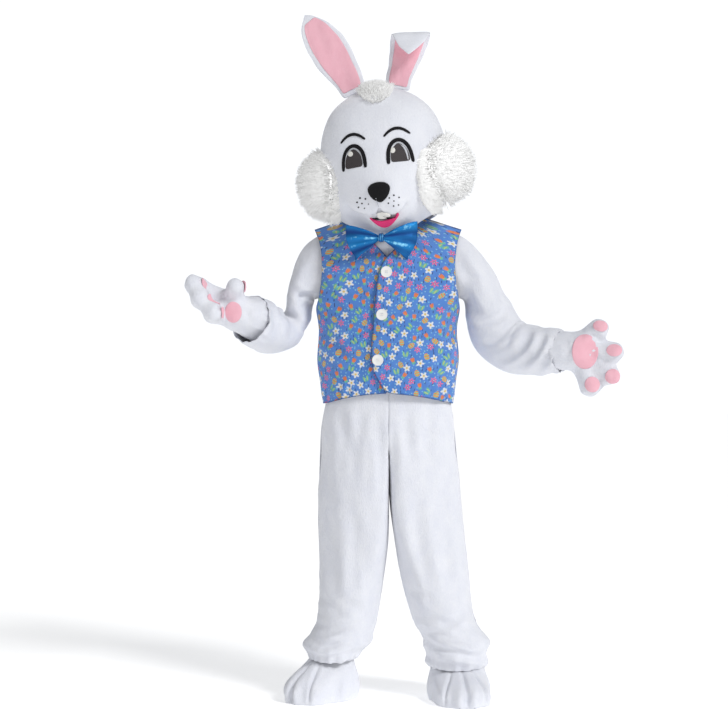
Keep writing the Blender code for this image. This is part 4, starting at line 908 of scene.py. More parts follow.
def print_colour(tree):
    place = tree.nodes.new("ShaderNodeTexCoord").outputs["UV"]
    slanted = tree.nodes.new("ShaderNodeMapping")
    slanted.inputs["Rotation"].default_value[2] = LAYOUT_TURN
    wire(tree, place, slanted.inputs["Vector"])
    own, choice, chance = scattered(tree, slanted.outputs[0], 1 / CELL, 0.4)
    turn = calc(tree, "MULTIPLY", calc(tree, "SUBTRACT", chance, 0.5), 2.0)
    x, y = turned(tree, own, calc(tree, "SUBTRACT", turn, LAYOUT_TURN))
    r = calc(tree, "SQRT", calc(tree, "ADD", calc(tree, "MULTIPLY", x, x), calc(tree, "MULTIPLY", y, y)))
    angle = calc(tree, "ARCTAN2", y, x)
    colour = blend_colours(tree, noise(tree, place, 34.0, 3.0), ink("ground"), ink("shade"))
    dots, dot_choice, _ = scattered(tree, place, 92.0, 0.9)
    dot_x, dot_y = turned(tree, dots, dot_choice)
    dot_r = calc(tree, "SQRT", oval(tree, dot_x, dot_y, 1.0, 1.0))
    few = calc(tree, "GREATER_THAN", dot_choice, 0.45)
    colour = blend_colours(tree, calc(tree, "MULTIPLY", below(tree, dot_r, 0.0019), few), colour, ink("sky"))
    sprig = oval(tree, dot_x, dot_y, 0.0012, 0.0042)
    rest = calc(tree, "MULTIPLY", calc(tree, "LESS_THAN", dot_choice, 0.3), below(tree, sprig, 1.0, 0.3))
    colour = blend_colours(tree, rest, colour, ink("navy"))

    def lay(mask, name, low, high):
        nonlocal colour
        here = calc(tree, "MULTIPLY", mask, pick(tree, choice, low, high))
        colour = blend_colours(tree, here, colour, ink(name))

    lay(below(tree, r, petals(tree, angle, 5, 0.0118, 0.24)), "white", 0.0, 0.26)
    lay(below(tree, r, 0.0033), "yellow", 0.0, 0.26)
    lay(below(tree, r, petals(tree, angle, 6, 0.0105, 0.30)), "pink", 0.26, 0.48)
    lay(below(tree, r, 0.0028), "navy", 0.26, 0.48)
    lay(below(tree, r, 0.0015), "white", 0.26, 0.48)
    stem = calc(tree, "ADD", y, 0.0078)
    lay(below(tree, oval(tree, x, stem, 0.0011, 0.0062), 1.0, 0.3), "green", 0.48, 0.70)
    leaf_side = calc(tree, "SUBTRACT", calc(tree, "ABSOLUTE", x), 0.0032)
    lay(below(tree, oval(tree, leaf_side, stem, 0.0021, 0.0034), 1.0, 0.3), "green", 0.48, 0.70)
    raised = calc(tree, "SUBTRACT", y, 0.0026)
    notch = calc(tree, "MULTIPLY", calc(tree, "COSINE", calc(tree, "MULTIPLY", x, 1500.0)), 0.0017)
    top = below(tree, raised, calc(tree, "ADD", notch, 0.0048))
    cup = calc(tree, "MULTIPLY", below(tree, oval(tree, x, raised, 0.0058, 0.0085), 1.0, 0.2), top)
    lay(cup, "orange", 0.48, 0.70)
    bands = calc(tree, "SINE", calc(tree, "MULTIPLY", y, 900.0))
    body = below(tree, oval(tree, x, y, 0.0076, 0.0102), 1.0, 0.2)
    lay(body, "yellow", 0.70, 0.86)
    lay(calc(tree, "MULTIPLY", body, calc(tree, "GREATER_THAN", bands, 0.25)), "orange", 0.70, 0.86)
    lay(calc(tree, "MULTIPLY", body, calc(tree, "LESS_THAN", bands, -0.6)), "green", 0.70, 0.86)
    side_leaf = calc(tree, "SUBTRACT", calc(tree, "ABSOLUTE", x), 0.0052)
    tips = calc(tree, "SUBTRACT", y, calc(tree, "MULTIPLY", calc(tree, "ABSOLUTE", x), 0.8))
    lay(below(tree, oval(tree, side_leaf, tips, 0.0048, 0.0080), 1.0, 0.2), "green", 0.86, 1.01)
    lay(below(tree, oval(tree, side_leaf, tips, 0.0009, 0.0064), 1.0, 0.5), "yellow", 0.86, 1.01)
    return colour


PRINT, tree, shader = plain_material(
    "printed_cotton", INK["ground"], 0.8, Sheen_Weight=0.15, Specular_IOR_Level=0.3
)
got = use_group(tree, weave, Threads=1100.0, Slub=0.8)
faded = calc(tree, "MULTIPLY", got["Worn"], 0.12)
dyed = blend_colours(tree, faded, print_colour(tree), (0.45, 0.55, 0.75, 1))
# painted shadow: the print darkens to deep blue along the cloth's edges
edge_shade = calc(tree, "MULTIPLY", stored(tree, "rim"), 0.8)
wire(tree, blend_colours(tree, edge_shade, dyed, (0.02, 0.05, 0.20, 1)), shader.inputs["Base Color"])
bump(tree, shader, got["Height"], 0.00025)
print("print nodes:", len(tree.nodes))

# %% [markdown]
# ## The waistcoat
# Two fronts lap over the chest and a back joins them at the shoulders and sides. Cotton is
# stiffer than plush, so its creases are few and sharper: some drag from the armholes, and short
# ones run up from the hem at the sides. The folded hem is a slightly thicker edge.

# %% Waistcoat
PRINT_WALL = 0.0015
VEST_CREASES = {
    "vest_front_left": [
        (196, -150, 120, -250, 10, 4, 12),
        (206, -300, 150, -420, -8, 4, 11),
        (176, -512, 160, -430, 4, 5, 9),
        (140, -508, 132, -446, -4, 4, 8),
        (100, -80, 60, -200, 8, 3, 14),
        (40, -280, 90, -420, -10, 3, 14),
        (200, -512, 192, -440, 4, 5, 8),
        (20, -130, 90, -170, -6, 3, 10),
    ],
    "vest_front_right": [
        (-184, -150, -110, -260, -10, 4, 12),
        (-196, -290, -120, -400, 10, 5, 12),
        (-150, -512, -140, -440, -4, 5, 8),
        (-182, -512, -176, -450, 4, 4, 8),
        (-90, -90, -70, -220, -8, 3, 14),
        (-60, -330, -100, -470, 8, 3, 14),
        (-118, -508, -112, -454, 3, 4, 8),
        (-40, -160, -110, -190, 6, 3, 10),
    ],
    "vest_back": [
        (-150, -140, -60, -260, 14, 5, 16),
        (160, -140, 60, -280, -14, 5, 16),
        (-120, -500, -100, -400, 6, 5, 12),
        (130, -500, 110, -410, -6, 5, 12),
        (10, -500, 4, -380, 4, 4, 12),
        (-180, -300, -110, -420, 8, 4, 14),
    ],
}


HEM_DEPTH = 0.9
HEM_WIDTH = 9.0


def hem(piece):
    """A folded edge: the cloth stands a little proud along it and dips just inside."""
    gaps = edge_gaps(piece)
    dip = np.exp(-(((gaps - HEM_WIDTH) / 3.0) ** 2))
    push(piece, HEM_DEPTH * (0.3 * np.exp(-((gaps / 3.0) ** 2)) - dip))
    # a mask for the painted shadow along the edges
    store(piece, "rim", np.exp(-((gaps / 2.2) ** 2)))


CUT_SHIFT = (0.131, 0.047)  # the left front is cut from another place of the cloth
SHOULDER_FROM = -0.10


def vest_piece(node):
    facing = 1 if node == "vest_back" else -1
    piece = piece_from(node, node + "_cloth", PRINT_WALL, (0, -facing * 0.05, -0.25), 3)
    press(piece, VEST_CREASES[node], facing, seed=41 + len(node), swell=(140, 1.0))
    hem(piece)
    cloth_map(piece)
    shift = CUT_SHIFT if node == "vest_front_left" else (0, 0)
    for loop, corner in zip(piece.data.loops, piece.data.uv_layers["cloth"].data):
        place = piece.data.vertices[loop.vertex_index].co
        slope = min(max((place.z - SHOULDER_FROM) / 0.09, 0), 1)
        over = slope * (0.13 - abs(place.y)) * 0.1  # the cloth runs on over the shoulder
        corner.uv = (corner.uv[0] + shift[0], corner.uv[1] + shift[1] + over)
    thicken(piece, 0.0012)
    paint(piece, PRINT)
    return piece


vest = {node: vest_piece(node) for node in VEST_CREASES}

# %% [markdown]
# ## The bow
# The bow is shiny woven cloth, pinched in the middle by a band. Its pleats fan out from the
# pinch, so every ridge is a line through it, and fine crinkles run along them. The finish is
# mostly metal. A height stored on the mesh paints shade into the valleys, which go deeper blue
# than the ridges, and paints pale highlights along the crinkled ridges.

# %% Shiny blue cloth
BOW_PINCH = (-17, -166, -21)
BOW_REACH = 105
BOW_DROP = 55


def fan(mm, seed, ridges):
    """Pleats that fan out from the pinch: +1 on a ridge, -1 in a valley."""
    away_x = np.abs(mm[:, 0] - BOW_PINCH[0])
    turn = np.arctan2(mm[:, 2] - BOW_PINCH[2], away_x + 22)
    return np.sin(ridges * turn + seed + 0.5 * np.sin(away_x / 26 + seed))


LAME, tree, shader = plain_material("blue_lame", (0.015, 0.22, 0.62), 0.3, Metallic=0.7)
place = object_place(tree)
crinkle = noise(tree, place, 70.0, 3.0)
pleat = stored(tree, "pleat")
# painted shade: the pleats' valleys are a deeper blue than their ridges
painted_shade_tone = blend_colours(tree, pleat, (0.003, 0.045, 0.21, 1), (0.012, 0.24, 0.60, 1))
# painted highlight: pale blue glints where the ridges and the crinkles meet
lit = calc(tree, "SUBTRACT", calc(tree, "MULTIPLY", pleat, crinkle), 0.42)
painted_glint = calc(tree, "MULTIPLY", lit, 5.0, clamp=True)
wire(tree, blend_colours(tree, painted_glint, painted_shade_tone, (0.30, 0.72, 0.95, 1)), shader.inputs["Base Color"])
got = use_group(tree, weave, Threads=900.0, Slub=0.5)
both = calc(tree, "ADD", calc(tree, "MULTIPLY", crinkle, 2.0), calc(tree, "MULTIPLY", got["Height"], 0.2))
bump(tree, shader, both, 0.0006)

# %% Bow wings and band
def finish_bow(piece, points, wave):
    set_points(piece, points)
    store(piece, "pleat", wave * 0.5 + 0.5)
    cloth_map(piece)
    paint(piece, LAME)


def bow_wing(side):
    node = f"bow_wing_{side}"
    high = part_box(node)[1]
    piece = piece_from(node, node + "_cloth", levels=3)
    points = points_of(piece)
    sign = 1 if side == "left" else -1
    reach = np.clip(sign * (points[:, 0] / MM - BOW_PINCH[0]) / BOW_REACH, 0, 1)
    drop = np.clip((BOW_PINCH[2] - points[:, 2] / MM) / BOW_DROP, 0, 1)
    points[:, 0] -= sign * 27 * MM * reach**2 * drop**1.6  # the lower corner hangs inwards
    mm = points / MM
    grown = np.clip(np.abs(mm[:, 0] - BOW_PINCH[0]) / 40, 0, 1)
    wave = 0.6 * fan(mm, 3 + (side == "left"), 10) + 0.4 * fan(mm, 8, 24)
    points[:, 1] = np.minimum(points[:, 1] - 3.0 * grown * wave * MM, high.y)
    finish_bow(piece, points, wave)
    return piece


def bow_band():
    piece = piece_from("bow_band", "bow_band_cloth")
    points = points_of(piece)
    wave = np.sin(points[:, 0] / MM * 1.25)
    points[:, 1] -= 0.7 * wave * MM
    finish_bow(piece, points, wave)


bow = {side: bow_wing(side) for side in ("left", "right")}
bow_band()
print("bow pieces:", len(bow) + 1)

# %% [markdown]
# ## The buttons
# Three large white buttons close the front. Each starts as a disc whose front is inset twice and
# pushed back, which leaves a rim and a dished middle. Four holes are cut, and two loops of thread
# go through them. The disc is made flat at the origin and then turned onto the waistcoat.

# %% Button materials
BUTTON_WHITE, tree, shader = plain_material("button_white", (0.86, 0.86, 0.84), 0.3, Coat_Weight=0.4)
place = object_place(tree)
clouds = noise(tree, place, 60.0, 3.0)
colour_between(tree, shader, clouds, (0.88, 0.88, 0.86), (0.79, 0.79, 0.78))
bump(tree, shader, noise(tree, place, 400.0, 2.0), 0.00006)
THREAD, tree, shader = plain_material("button_thread", (0.70, 0.71, 0.73), 0.7)
place = object_place(tree)
strands = noise(tree, place, 1500.0, 2.0)
colour_between(tree, shader, strands, (0.55, 0.56, 0.6), (0.82, 0.82, 0.84))
bump(tree, shader, strands, 0.0002)

# %% Buttons
BUTTON_RADIUS = 0.0168
BUTTON_DEPTH = 0.0034
BUTTON_RIM = 0.0026
HOLE_AT = 0.0026
HOLE_RADIUS = 0.0010
THREAD_RADIUS = 0.0005


def pick_faces(piece, wanted):
    form = bmesh.from_edit_mesh(piece.data)
    for face in form.faces:
        face.select_set(wanted(face))
    bmesh.update_edit_mesh(piece.data)


def seat_of(node):
    """The middle of a button's front and the way that it faces."""
    faces = [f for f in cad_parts[node].data.polygons if f.normal.y < -0.8]
    facing = sum((f.normal * f.area for f in faces), Vector()).normalized()
    middle = sum((f.center * f.area for f in faces), Vector()) / sum(f.area for f in faces)
    return middle, facing


def onto(piece, middle, facing):
    piece.matrix_world = Matrix.Translation(middle) @ facing.to_track_quat("Z", "Y").to_matrix().to_4x4()
    use_only(piece)
    bpy.ops.object.transform_apply(location=True, rotation=True, scale=True)
    piece.data.shade_smooth()


def cut_hole(piece, x, y):
    bpy.ops.object.select_all(action="DESELECT")
    bpy.ops.mesh.primitive_cylinder_add(vertices=16, radius=HOLE_RADIUS, depth=0.02, location=(x, y, 0))
    drill = bpy.context.object
    apply_step(piece, "BOOLEAN", object=drill)
    bpy.data.objects.remove(drill)


def button(number):
    node = f"button_{number}"
    middle, facing = seat_of(node)
    bpy.ops.object.select_all(action="DESELECT")
    bpy.ops.mesh.primitive_cylinder_add(
        vertices=64, radius=BUTTON_RADIUS, depth=BUTTON_DEPTH, location=(0, 0, -BUTTON_DEPTH / 2)
    )
    piece = bpy.context.object
    piece.name = f"{node}_disc"
    bpy.ops.object.transform_apply(location=True)
    bpy.ops.object.mode_set(mode="EDIT")
    bpy.ops.mesh.select_mode(type="FACE")
    pick_faces(piece, lambda f: f.normal.z > 0.9)
    bpy.ops.mesh.inset(thickness=BUTTON_RIM)
    bpy.ops.mesh.inset(thickness=0.0012, depth=-0.0011)
    bpy.ops.object.mode_set(mode="OBJECT")
    for x in (-HOLE_AT, HOLE_AT):
        for y in (-HOLE_AT, HOLE_AT):
            cut_hole(piece, x, y)
    apply_step(piece, "BEVEL", width=0.0005, segments=3, limit_method="ANGLE")
    onto(piece, middle, facing)
    paint(piece, BUTTON_WHITE)
    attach(piece, "root")
    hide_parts(node)
    for y in (-HOLE_AT, HOLE_AT):
        bpy.ops.object.select_all(action="DESELECT")
        bpy.ops.mesh.primitive_torus_add(
            major_radius=HOLE_AT, minor_radius=THREAD_RADIUS, major_segments=24, minor_segments=8,
            location=(0, y, -0.0016), rotation=(math.pi / 2, 0, 0),
        )
        loop = bpy.context.object
        loop.name = f"{node}_thread_{'upper' if y > 0 else 'lower'}"
        bpy.ops.object.transform_apply(location=True, rotation=True)
        onto(loop, middle, facing)
        paint(loop, THREAD)
        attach(loop, "root")
    return piece


buttons = [button(number) for number in (1, 2, 3)]
print("buttons:", len(buttons), "triangles", sum(len(b.data.polygons) for b in buttons))

# %% [markdown]
# ## Places on the face
# Everything on the face is sewn flat onto the plush, so its place is easiest to give as the
# camera sees it. A point is named by its column and row in the 728 pixel frame, and a ray from the
# camera finds the place on the head below it.

# %% Reading places through the camera
FRAME = 728
MIDDLE = FRAME / 2
METRES_PER_PIXEL_AT_1M = 36 / CAMERA_LENS / FRAME


def seen_at(points):
    """The column and row of each point, as the camera sees it."""
    away = points - np.array(camera.location)
    scale = away[:, 1] * METRES_PER_PIXEL_AT_1M
    return np.stack([MIDDLE + away[:, 0] / scale, MIDDLE - away[:, 2] / scale], axis=1)


def sight_line(column, row):
    aside, up = (column - MIDDLE) * METRES_PER_PIXEL_AT_1M, (MIDDLE - row) * METRES_PER_PIXEL_AT_1M
    return Vector(camera.location), Vector((aside, 1.0, up)).normalized()


def line_gap(seen, line):
    """How far each seen point is from a drawn line, in pixels, and how far along it lies."""
    best = np.full(len(seen), 1e9)
    along = np.zeros(len(seen))
    line = np.array(line, float)
    lengths = np.linalg.norm(np.diff(line, axis=0), axis=1)
    run = 0.0
    for a, b, length in zip(line, line[1:], lengths):
        t = np.clip(((seen - a) @ (b - a)) / length**2, 0, 1)
        gap = np.linalg.norm(seen - (a + t[:, None] * (b - a)), axis=1)
        closer = gap < best
        best[closer] = gap[closer]
        along[closer] = (run + t * length)[closer] / lengths.sum()
        run += length
    return best, along


# %% [markdown]
# ## The head
# The head is a padded plush shell. The solid has its outline, the muzzle and the jaw. The lip
# pads are drawn here: a deep tuck runs under each pad and up to the nose, and the plush swells
# above it. The jaw is pushed in under the lips and the plush stands out over them. A fine seam
# runs down from the crown.

# %% Head
HEAD_WALL = 0.007
# places as the camera sees them
LIP_TUCKS = [
    ((346.5, 204), (350.5, 208), (357.4, 212), (364.3, 215), (371, 216), (376, 213.5), (379.2, 208)),
    ((379.2, 208), (384, 213), (388.5, 215.4), (394, 215), (399, 212.5), (403.5, 208), (407, 202)),
    ((376.6, 203), (378.4, 206), (379.2, 209)),
]
HEAD_SEAM = ((401.6, 88.7), (402.2, 96), (401, 107))
# column, row, half width and half height of each lip pad
PADS_AT = ((362, 205, 13, 8), (393, 205, 13, 8))
LIP_FROM, LIP_TO = 344, 410
LIP_IN = 7.0
LIP_OUT = 3.2
CHEEK_EDGES = [
    ((329.8, 157.6), (337.9, 184), (339, 203.5), (342.5, 223)),
    ((420.5, 151.8), (416, 174.8), (419.4, 197.8), (424, 210.4)),
]


def head_piece():
    piece = piece_from("head_shell", "head_cloth", HEAD_WALL, centre_of("head_shell"), 3)
    soften(piece, 6)
    points = points_of(piece)
    seen = seen_at(points)
    front = np.clip(-normals_of(piece)[:, 1] * 3, 0, 1)
    shape = np.zeros(len(points))
    for line in LIP_TUCKS:
        gap, along = line_gap(seen, line)
        taper = np.clip(np.minimum(along, 1 - along) * 8 + 0.3, 0, 1)
        shape -= 3.5 * taper * np.exp(-((gap / 1.5) ** 2))
    for column, row, half_wide, half_high in PADS_AT:
        round_it = ((seen[:, 0] - column) / half_wide) ** 2 + ((seen[:, 1] - row) / half_high) ** 2
        shape += 3.0 * np.exp(-round_it)
    columns, rows = zip(*(LIP_TUCKS[0] + LIP_TUCKS[1][1:]))
    under = seen[:, 1] - np.interp(seen[:, 0], columns, rows)
    between = np.clip(np.minimum(seen[:, 0] - LIP_FROM, LIP_TO - seen[:, 0]) / 9, 0, 1)
    shape -= LIP_IN * between * np.clip(under / 1.6, 0, 1) * np.exp(-np.clip(under, 0, 99) / 11)
    shape += LIP_OUT * between * (under <= 0) * np.exp(-((under / 6) ** 2))
    gap = line_gap(seen, HEAD_SEAM)[0]
    shape -= 1.3 * np.exp(-((gap / 0.7) ** 2))
    for line in CHEEK_EDGES:
        gap, along = line_gap(seen, line)
        shape -= 2.5 * np.sin(np.pi * along) * np.exp(-((gap / 3.5) ** 2))
    push(piece, shape * front + ripple(points / MM, 53, 90, 0.9))
    return piece


def tree_over(*pieces):
    verts, faces = [], []
    for piece in pieces:
        start = len(verts)
        verts += [v.co.copy() for v in piece.data.vertices]
        faces += [[start + k for k in p.vertices] for p in piece.data.polygons]
    return BVHTree.FromPolygons(verts, faces)


head = head_piece()
paint(head, HEAD_PLUSH)
tree_of_head = tree_over(head)
tree_of_solid = tree_over(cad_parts["head_shell"])


def seat_on_head(piece, spare):
    """Carries a sewn piece from the solid's faceted face to the smooth one, at its own height."""
    moved = []
    for v in piece.data.vertices:
        place, normal = tree_of_solid.find_nearest(v.co)[:2]
        height = (v.co - place).dot(normal)
        place, normal = tree_of_head.find_nearest(v.co)[:2]
        moved.append(place + normal * (max(height, 0.0) + spare))
    set_points(piece, np.array(moved))


head.data.calc_loop_triangles()
HEAD_CORNERS = points_of(head)
HEAD_TRIS = np.array([t.vertices[:] for t in head.data.loop_triangles])
thicken(head, 0.004)

# %% [markdown]
# ## The ears
# One ear stands and the other is folded over at its middle. Each has a plush back and edge and a
# pink fleece lining, sewn in a little inside the edge. A soft fold runs up each lining.

# %% Ears
EAR_LEAN = {"left": 0.1, "right": -0.30}  # how far the lining's fold leans aside on its way up
LINING_SHARE = 0.88  # of the solid lining's width
LINING_ROWS = 25


def ear_swell(points, side):
    return ripple(points / MM, 61 + (side == "left"), 60, 1.2)


def ear_lining(side):
    node = f"ear_lining_{side}"
    piece = piece_from(node, f"{node}_fleece")
    paint(piece, FLEECE)
    points = points_of(piece)
    low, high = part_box(node)
    middle = (low.x + high.x) / 2
    bend = (points[:, 0] - middle - (points[:, 2] - low.z) * EAR_LEAN[side]) / MM
    fold = np.exp(-(((bend + 26) / 5) ** 2)) * (normals_of(piece)[:, 1] < 0)
    push(piece, ear_swell(points, side) + 0.9 - 1.1 * fold)
    steps = np.linspace(low.z, high.z, LINING_ROWS)
    middles = []
    for z in steps:
        row = points[np.abs(points[:, 2] - z) < (high.z - low.z) / 20]
        middles.append((row[:, 0].min() + row[:, 0].max()) / 2 if len(row) else middle)
    middle_x = np.interp(points[:, 2], steps, middles)
    moved = points_of(piece)
    moved[:, 0] = middle_x + (moved[:, 0] - middle_x) * LINING_SHARE
    set_points(piece, moved)
    return piece


def ear(side):
    piece = piece_from(f"ear_{side}", f"ear_{side}_cloth")
    push(piece, ear_swell(points_of(piece), side))
    paint(piece, HEAD_PLUSH)
    return piece, ear_lining(side)


ears = {side: ear(side) for side in ("left", "right")}

# %% [markdown]
# ## Long fur
# The cheeks and the tuft are long fur. A real one has millions of fibres that lie in locks, so the
# locks are what is built: thin tapered tongues of three sides, rooted all over a smaller copy of
# the solid, combed outwards and bent by their own weight. Each lock stores how light it is, and
# its colour darkens towards its root as painted shade between the locks.

# %% Fur material
FUR, tree, shader = plain_material(
    "long_fur", (0.86, 0.86, 0.85), 0.8, Sheen_Weight=0.35, Sheen_Roughness=0.4, Specular_IOR_Level=0.25
)
place = object_place(tree)
along = stored(tree, "along")
own = stored(tree, "own")
# painted shade: darker towards the roots of the locks, with each lock's own random lightness
depth = calc(tree, "ADD", along, calc(tree, "MULTIPLY", calc(tree, "SUBTRACT", own, 0.5), 0.5), clamp=True)
painted_shade_tone = blend_colours(tree, depth, (0.86, 0.86, 0.865, 1), (0.97, 0.97, 0.965, 1))
shader.inputs["Emission Color"].default_value = (1, 1, 0.985, 1)
shader.inputs["Emission Strength"].default_value = 0.36  # painted light: a glow that stands in for light passing between the fibres
patches = calc(tree, "MULTIPLY", noise(tree, place, 22.0, 2.0), 0.3)
wire(tree, blend_colours(tree, patches, painted_shade_tone, (0.82, 0.82, 0.83, 1)), shader.inputs["Base Color"])
bump(tree, shader, noise(tree, place, 900.0, 2.0), 0.0004)

# %% [markdown]
# A lock is a short stack of rings of three points with a tip, and all locks of a piece are one
# mesh. Locks are sown evenly, by area, over a drawn-in copy of the solid and over the part of the
# head that the fur covers. A comb function says which way each lock sets out and where it ends.

# %% Locks of fur
LOCK_STEPS = 4
LOCK_POINTS = 3 * LOCK_STEPS + 1
ROOT_DEPTH = 0.001
LOWER_SHARE = 0.45  # of the fur's height, in which the locks hang longer


def sown(corners, tris, count, chance, share=None):
    """Points spread evenly over triangles, or over the share of them that is given, with normals."""
    a, b, c = corners[tris[:, 0]], corners[tris[:, 1]], corners[tris[:, 2]]
    area = np.linalg.norm(np.cross(b - a, c - a), axis=1)
    if share is not None:
        area = area * share
    where = chance.choice(len(tris), count, p=area / area.sum())
    u, v = chance.rand(2, count, 1)
    flip = (u + v) > 1
    u, v = np.where(flip, 1 - u, u), np.where(flip, 1 - v, v)
    normals = np.cross(b - a, c - a)[where]
    normals /= np.linalg.norm(normals, axis=1, keepdims=True)
    return a[where] + u * (b - a)[where] + v * (c - a)[where], normals


def inside_outline(seen, outline):
    """Which seen points lie inside a drawn outline."""
    inside = np.zeros(len(seen), bool)
    x, y = seen[:, 0], seen[:, 1]
    for (x1, y1), (x2, y2) in zip(outline, outline[1:] + outline[:1]):
        crosses = ((y1 > y) != (y2 > y)) & (x < (x2 - x1) * (y - y1) / (y2 - y1 + 1e-9) + x1)
        inside ^= crosses
    return inside


def fur_base(node, name, inset, fill):
    """A node's form drawn in by inset, with its side towards the face brought in by fill; mm."""
    base = piece_from(node, name)
    push(base, -inset)
    soften(base, 6)
    if fill:
        points, normals = points_of(base), normals_of(base)
        side = np.sign(points[:, 0].mean())
        inner = np.clip(0.35 - normals[:, 0] * side, 0, 1) * np.clip(0.5 - normals[:, 1], 0, 1)
        points[:, 0] -= side * inner * fill * MM
        points[:, 1] -= inner * fill * 0.35 * MM
        set_points(base, points)
        soften(base, 4)
    base.data.calc_loop_triangles()
    return base, points_of(base), np.array([t.vertices[:] for t in base.data.loop_triangles])


def lock_triangles(count):
    """The triangles of count locks, one after the other: a root, the rings' sides and a tip."""
    faces = [(0, 2, 1)]
    for step in range(LOCK_STEPS - 1):
        for k in range(3):
            a, b = 3 * step + k, 3 * step + (k + 1) % 3
            faces += [(a, b, b + 3), (a, b + 3, a + 3)]
    last = 3 * (LOCK_STEPS - 1)
    faces += [(last + k, last + (k + 1) % 3, LOCK_POINTS - 1) for k in range(3)]
    return (np.arange(count)[:, None, None] * LOCK_POINTS + np.array(faces)).reshape(-1, 3)


def unit(rows):
    return rows / np.linalg.norm(rows, axis=1, keepdims=True)


def lock_points(roots, start, end, reach, radius, own, chance):
    """Rings of three points along each lock, which bends from its start way to its end way."""
    aside = unit(np.cross(start, chance.normal(size=roots.shape)))
    other = np.cross(start, aside)
    points = []
    for step in range(LOCK_STEPS):
        t = step / LOCK_STEPS
        middle = roots + start * reach * (t - 0.5 * t * t) + end * reach * 0.5 * t * t - start * ROOT_DEPTH
        width = radius * (1 - t) ** 0.7 * (0.75 + 0.5 * own[:, None])
        for turn in (0, 2 * math.pi / 3, 4 * math.pi / 3):
            points.append(middle + width * (aside * math.cos(turn) + other * math.sin(turn)))
    points.append(roots + start * reach * 0.5 + end * reach * 0.5)
    return np.stack(points, axis=1).reshape(-1, 3)


def fur(name, node, inset, count, length, radius, comb, seed, outline, extra, lower=1.0, fill=0):
    """Locks on a copy of a node, and extra ones on the head inside an outline; lower ones longer."""
    base, corners, tris = fur_base(node, name, inset, fill)
    chance = np.random.RandomState(seed)
    roots, normals = sown(corners, tris, count, chance)
    middles = HEAD_CORNERS[HEAD_TRIS].mean(axis=1)
    here = inside_outline(seen_at(middles), outline) & (middles[:, 1] < 0)
    more, more_normals = sown(HEAD_CORNERS, HEAD_TRIS, extra, chance, here)
    roots, normals = np.concatenate([roots, more]), np.concatenate([normals, more_normals])
    count += extra
    start, end = comb(roots, normals)
    jitter = chance.normal(0, 0.13, (count, 3))
    start, end = unit(start + jitter), unit(end + jitter * 1.5)
    low, high = roots[:, 2:].min(), roots[:, 2:].max()
    lowest = LOWER_SHARE * (high - low)
    hang = np.clip((low + lowest - roots[:, 2:]) / lowest, 0, 1)
    reach = length * (0.72 + 0.45 * chance.rand(count, 1)) * (1 + (lower - 1) * hang)
    reach[-extra:] *= 0.85 / (1 + (lower - 1) * hang[-extra:])
    own = chance.rand(count)
    locks = lock_points(roots, start, end, reach, radius, own, chance)
    offset = len(corners)
    triangles = np.concatenate([tris, lock_triangles(count) + offset])
    mesh = bpy.data.meshes.new(name)
    mesh.from_pydata(np.concatenate([corners, locks]).tolist(), [], triangles.tolist())
    mesh.shade_smooth()
    outward = np.repeat(start * 0.6 + normals * 0.4, LOCK_POINTS, axis=0)
    outward = unit(np.concatenate([normals_of(base), outward]))
    mesh.normals_split_custom_set_from_vertices(outward.tolist())
    base.data = mesh
    along = np.append(np.repeat(np.arange(LOCK_STEPS) / LOCK_STEPS, 3), 1.0)
    store(base, "along", np.concatenate([np.full(offset, 0.35), np.tile(along, count)]))
    store(base, "own", np.concatenate([np.full(offset, 0.5), np.repeat(own, LOCK_POINTS)]))
    paint(base, FUR)
    print(name, "locks:", count)
    return base


def comb_cheek(roots, normals):
    """Outwards over the cheek, up at its top and down at its bottom."""
    side = np.sign(roots[:, :1])
    slope = np.clip((roots[:, 2:] - 0.21) * 5, -1.1, 0.35)
    inner = np.clip(0.5 - normals[:, :1] * side, 0, 1)  # over the hollow beside the face
    flow = np.concatenate([side * (1 - inner), -0.1 - inner, slope], axis=1)
    flow /= np.linalg.norm(flow, axis=1, keepdims=True)
    return normals * 0.8 + flow * 0.45, normals * 0.3 + flow * 0.8


def comb_tuft(roots, normals):
    away = roots - np.array((-40, -60, 400)) * MM
    start = normals * 0.6 + away * 6 + np.array((0, -0.2, 0.5))
    end = normals * 0.2 + away * 8 + np.array((0.1, -0.5, 0.15))
    return start, end


# where the fur runs on over the head, as the camera sees it
FUR_OUTLINES = {
    "left": [
        (421, 150), (417, 162), (416.5, 176), (418.5, 192),
        (423, 205), (430, 211), (438, 211), (436, 150),
    ],
    "right": [
        (327, 158), (334, 170), (338, 184), (339, 200),
        (341, 214), (341, 224), (326, 222), (318, 160),
    ],
    "tuft": [(356, 86), (359, 95), (365, 100), (374, 104), (383, 101), (390, 96), (393, 86)],
}
cheeks = {
    side: fur(
        f"cheek_{side}_fur", f"cheek_{side}", inset=15, count=7200, length=0.027, radius=0.0016,
        comb=comb_cheek, seed=71 + k, outline=FUR_OUTLINES[side], extra=2600, lower=1.4, fill=30,
    )
    for k, side in enumerate(("left", "right"))
}
tuft = fur(
    "head_tuft_fur", "head_tuft", inset=4, count=2400, length=0.024, radius=0.0011,
    comb=comb_tuft, seed=77, outline=FUR_OUTLINES["tuft"], extra=1600,
)

# %% [markdown]
# ## The face
# Brows and eye rims are black satin stitch, the eyes are dark mesh that the wearer sees through,
# and the nose is a padded felt cover. The mesh has slanting threads, a pale crescent and a white
# spot, and the muzzle has small embroidered dots. These last pieces are thin, so each is laid on
# the face through the camera and then given its thickness.

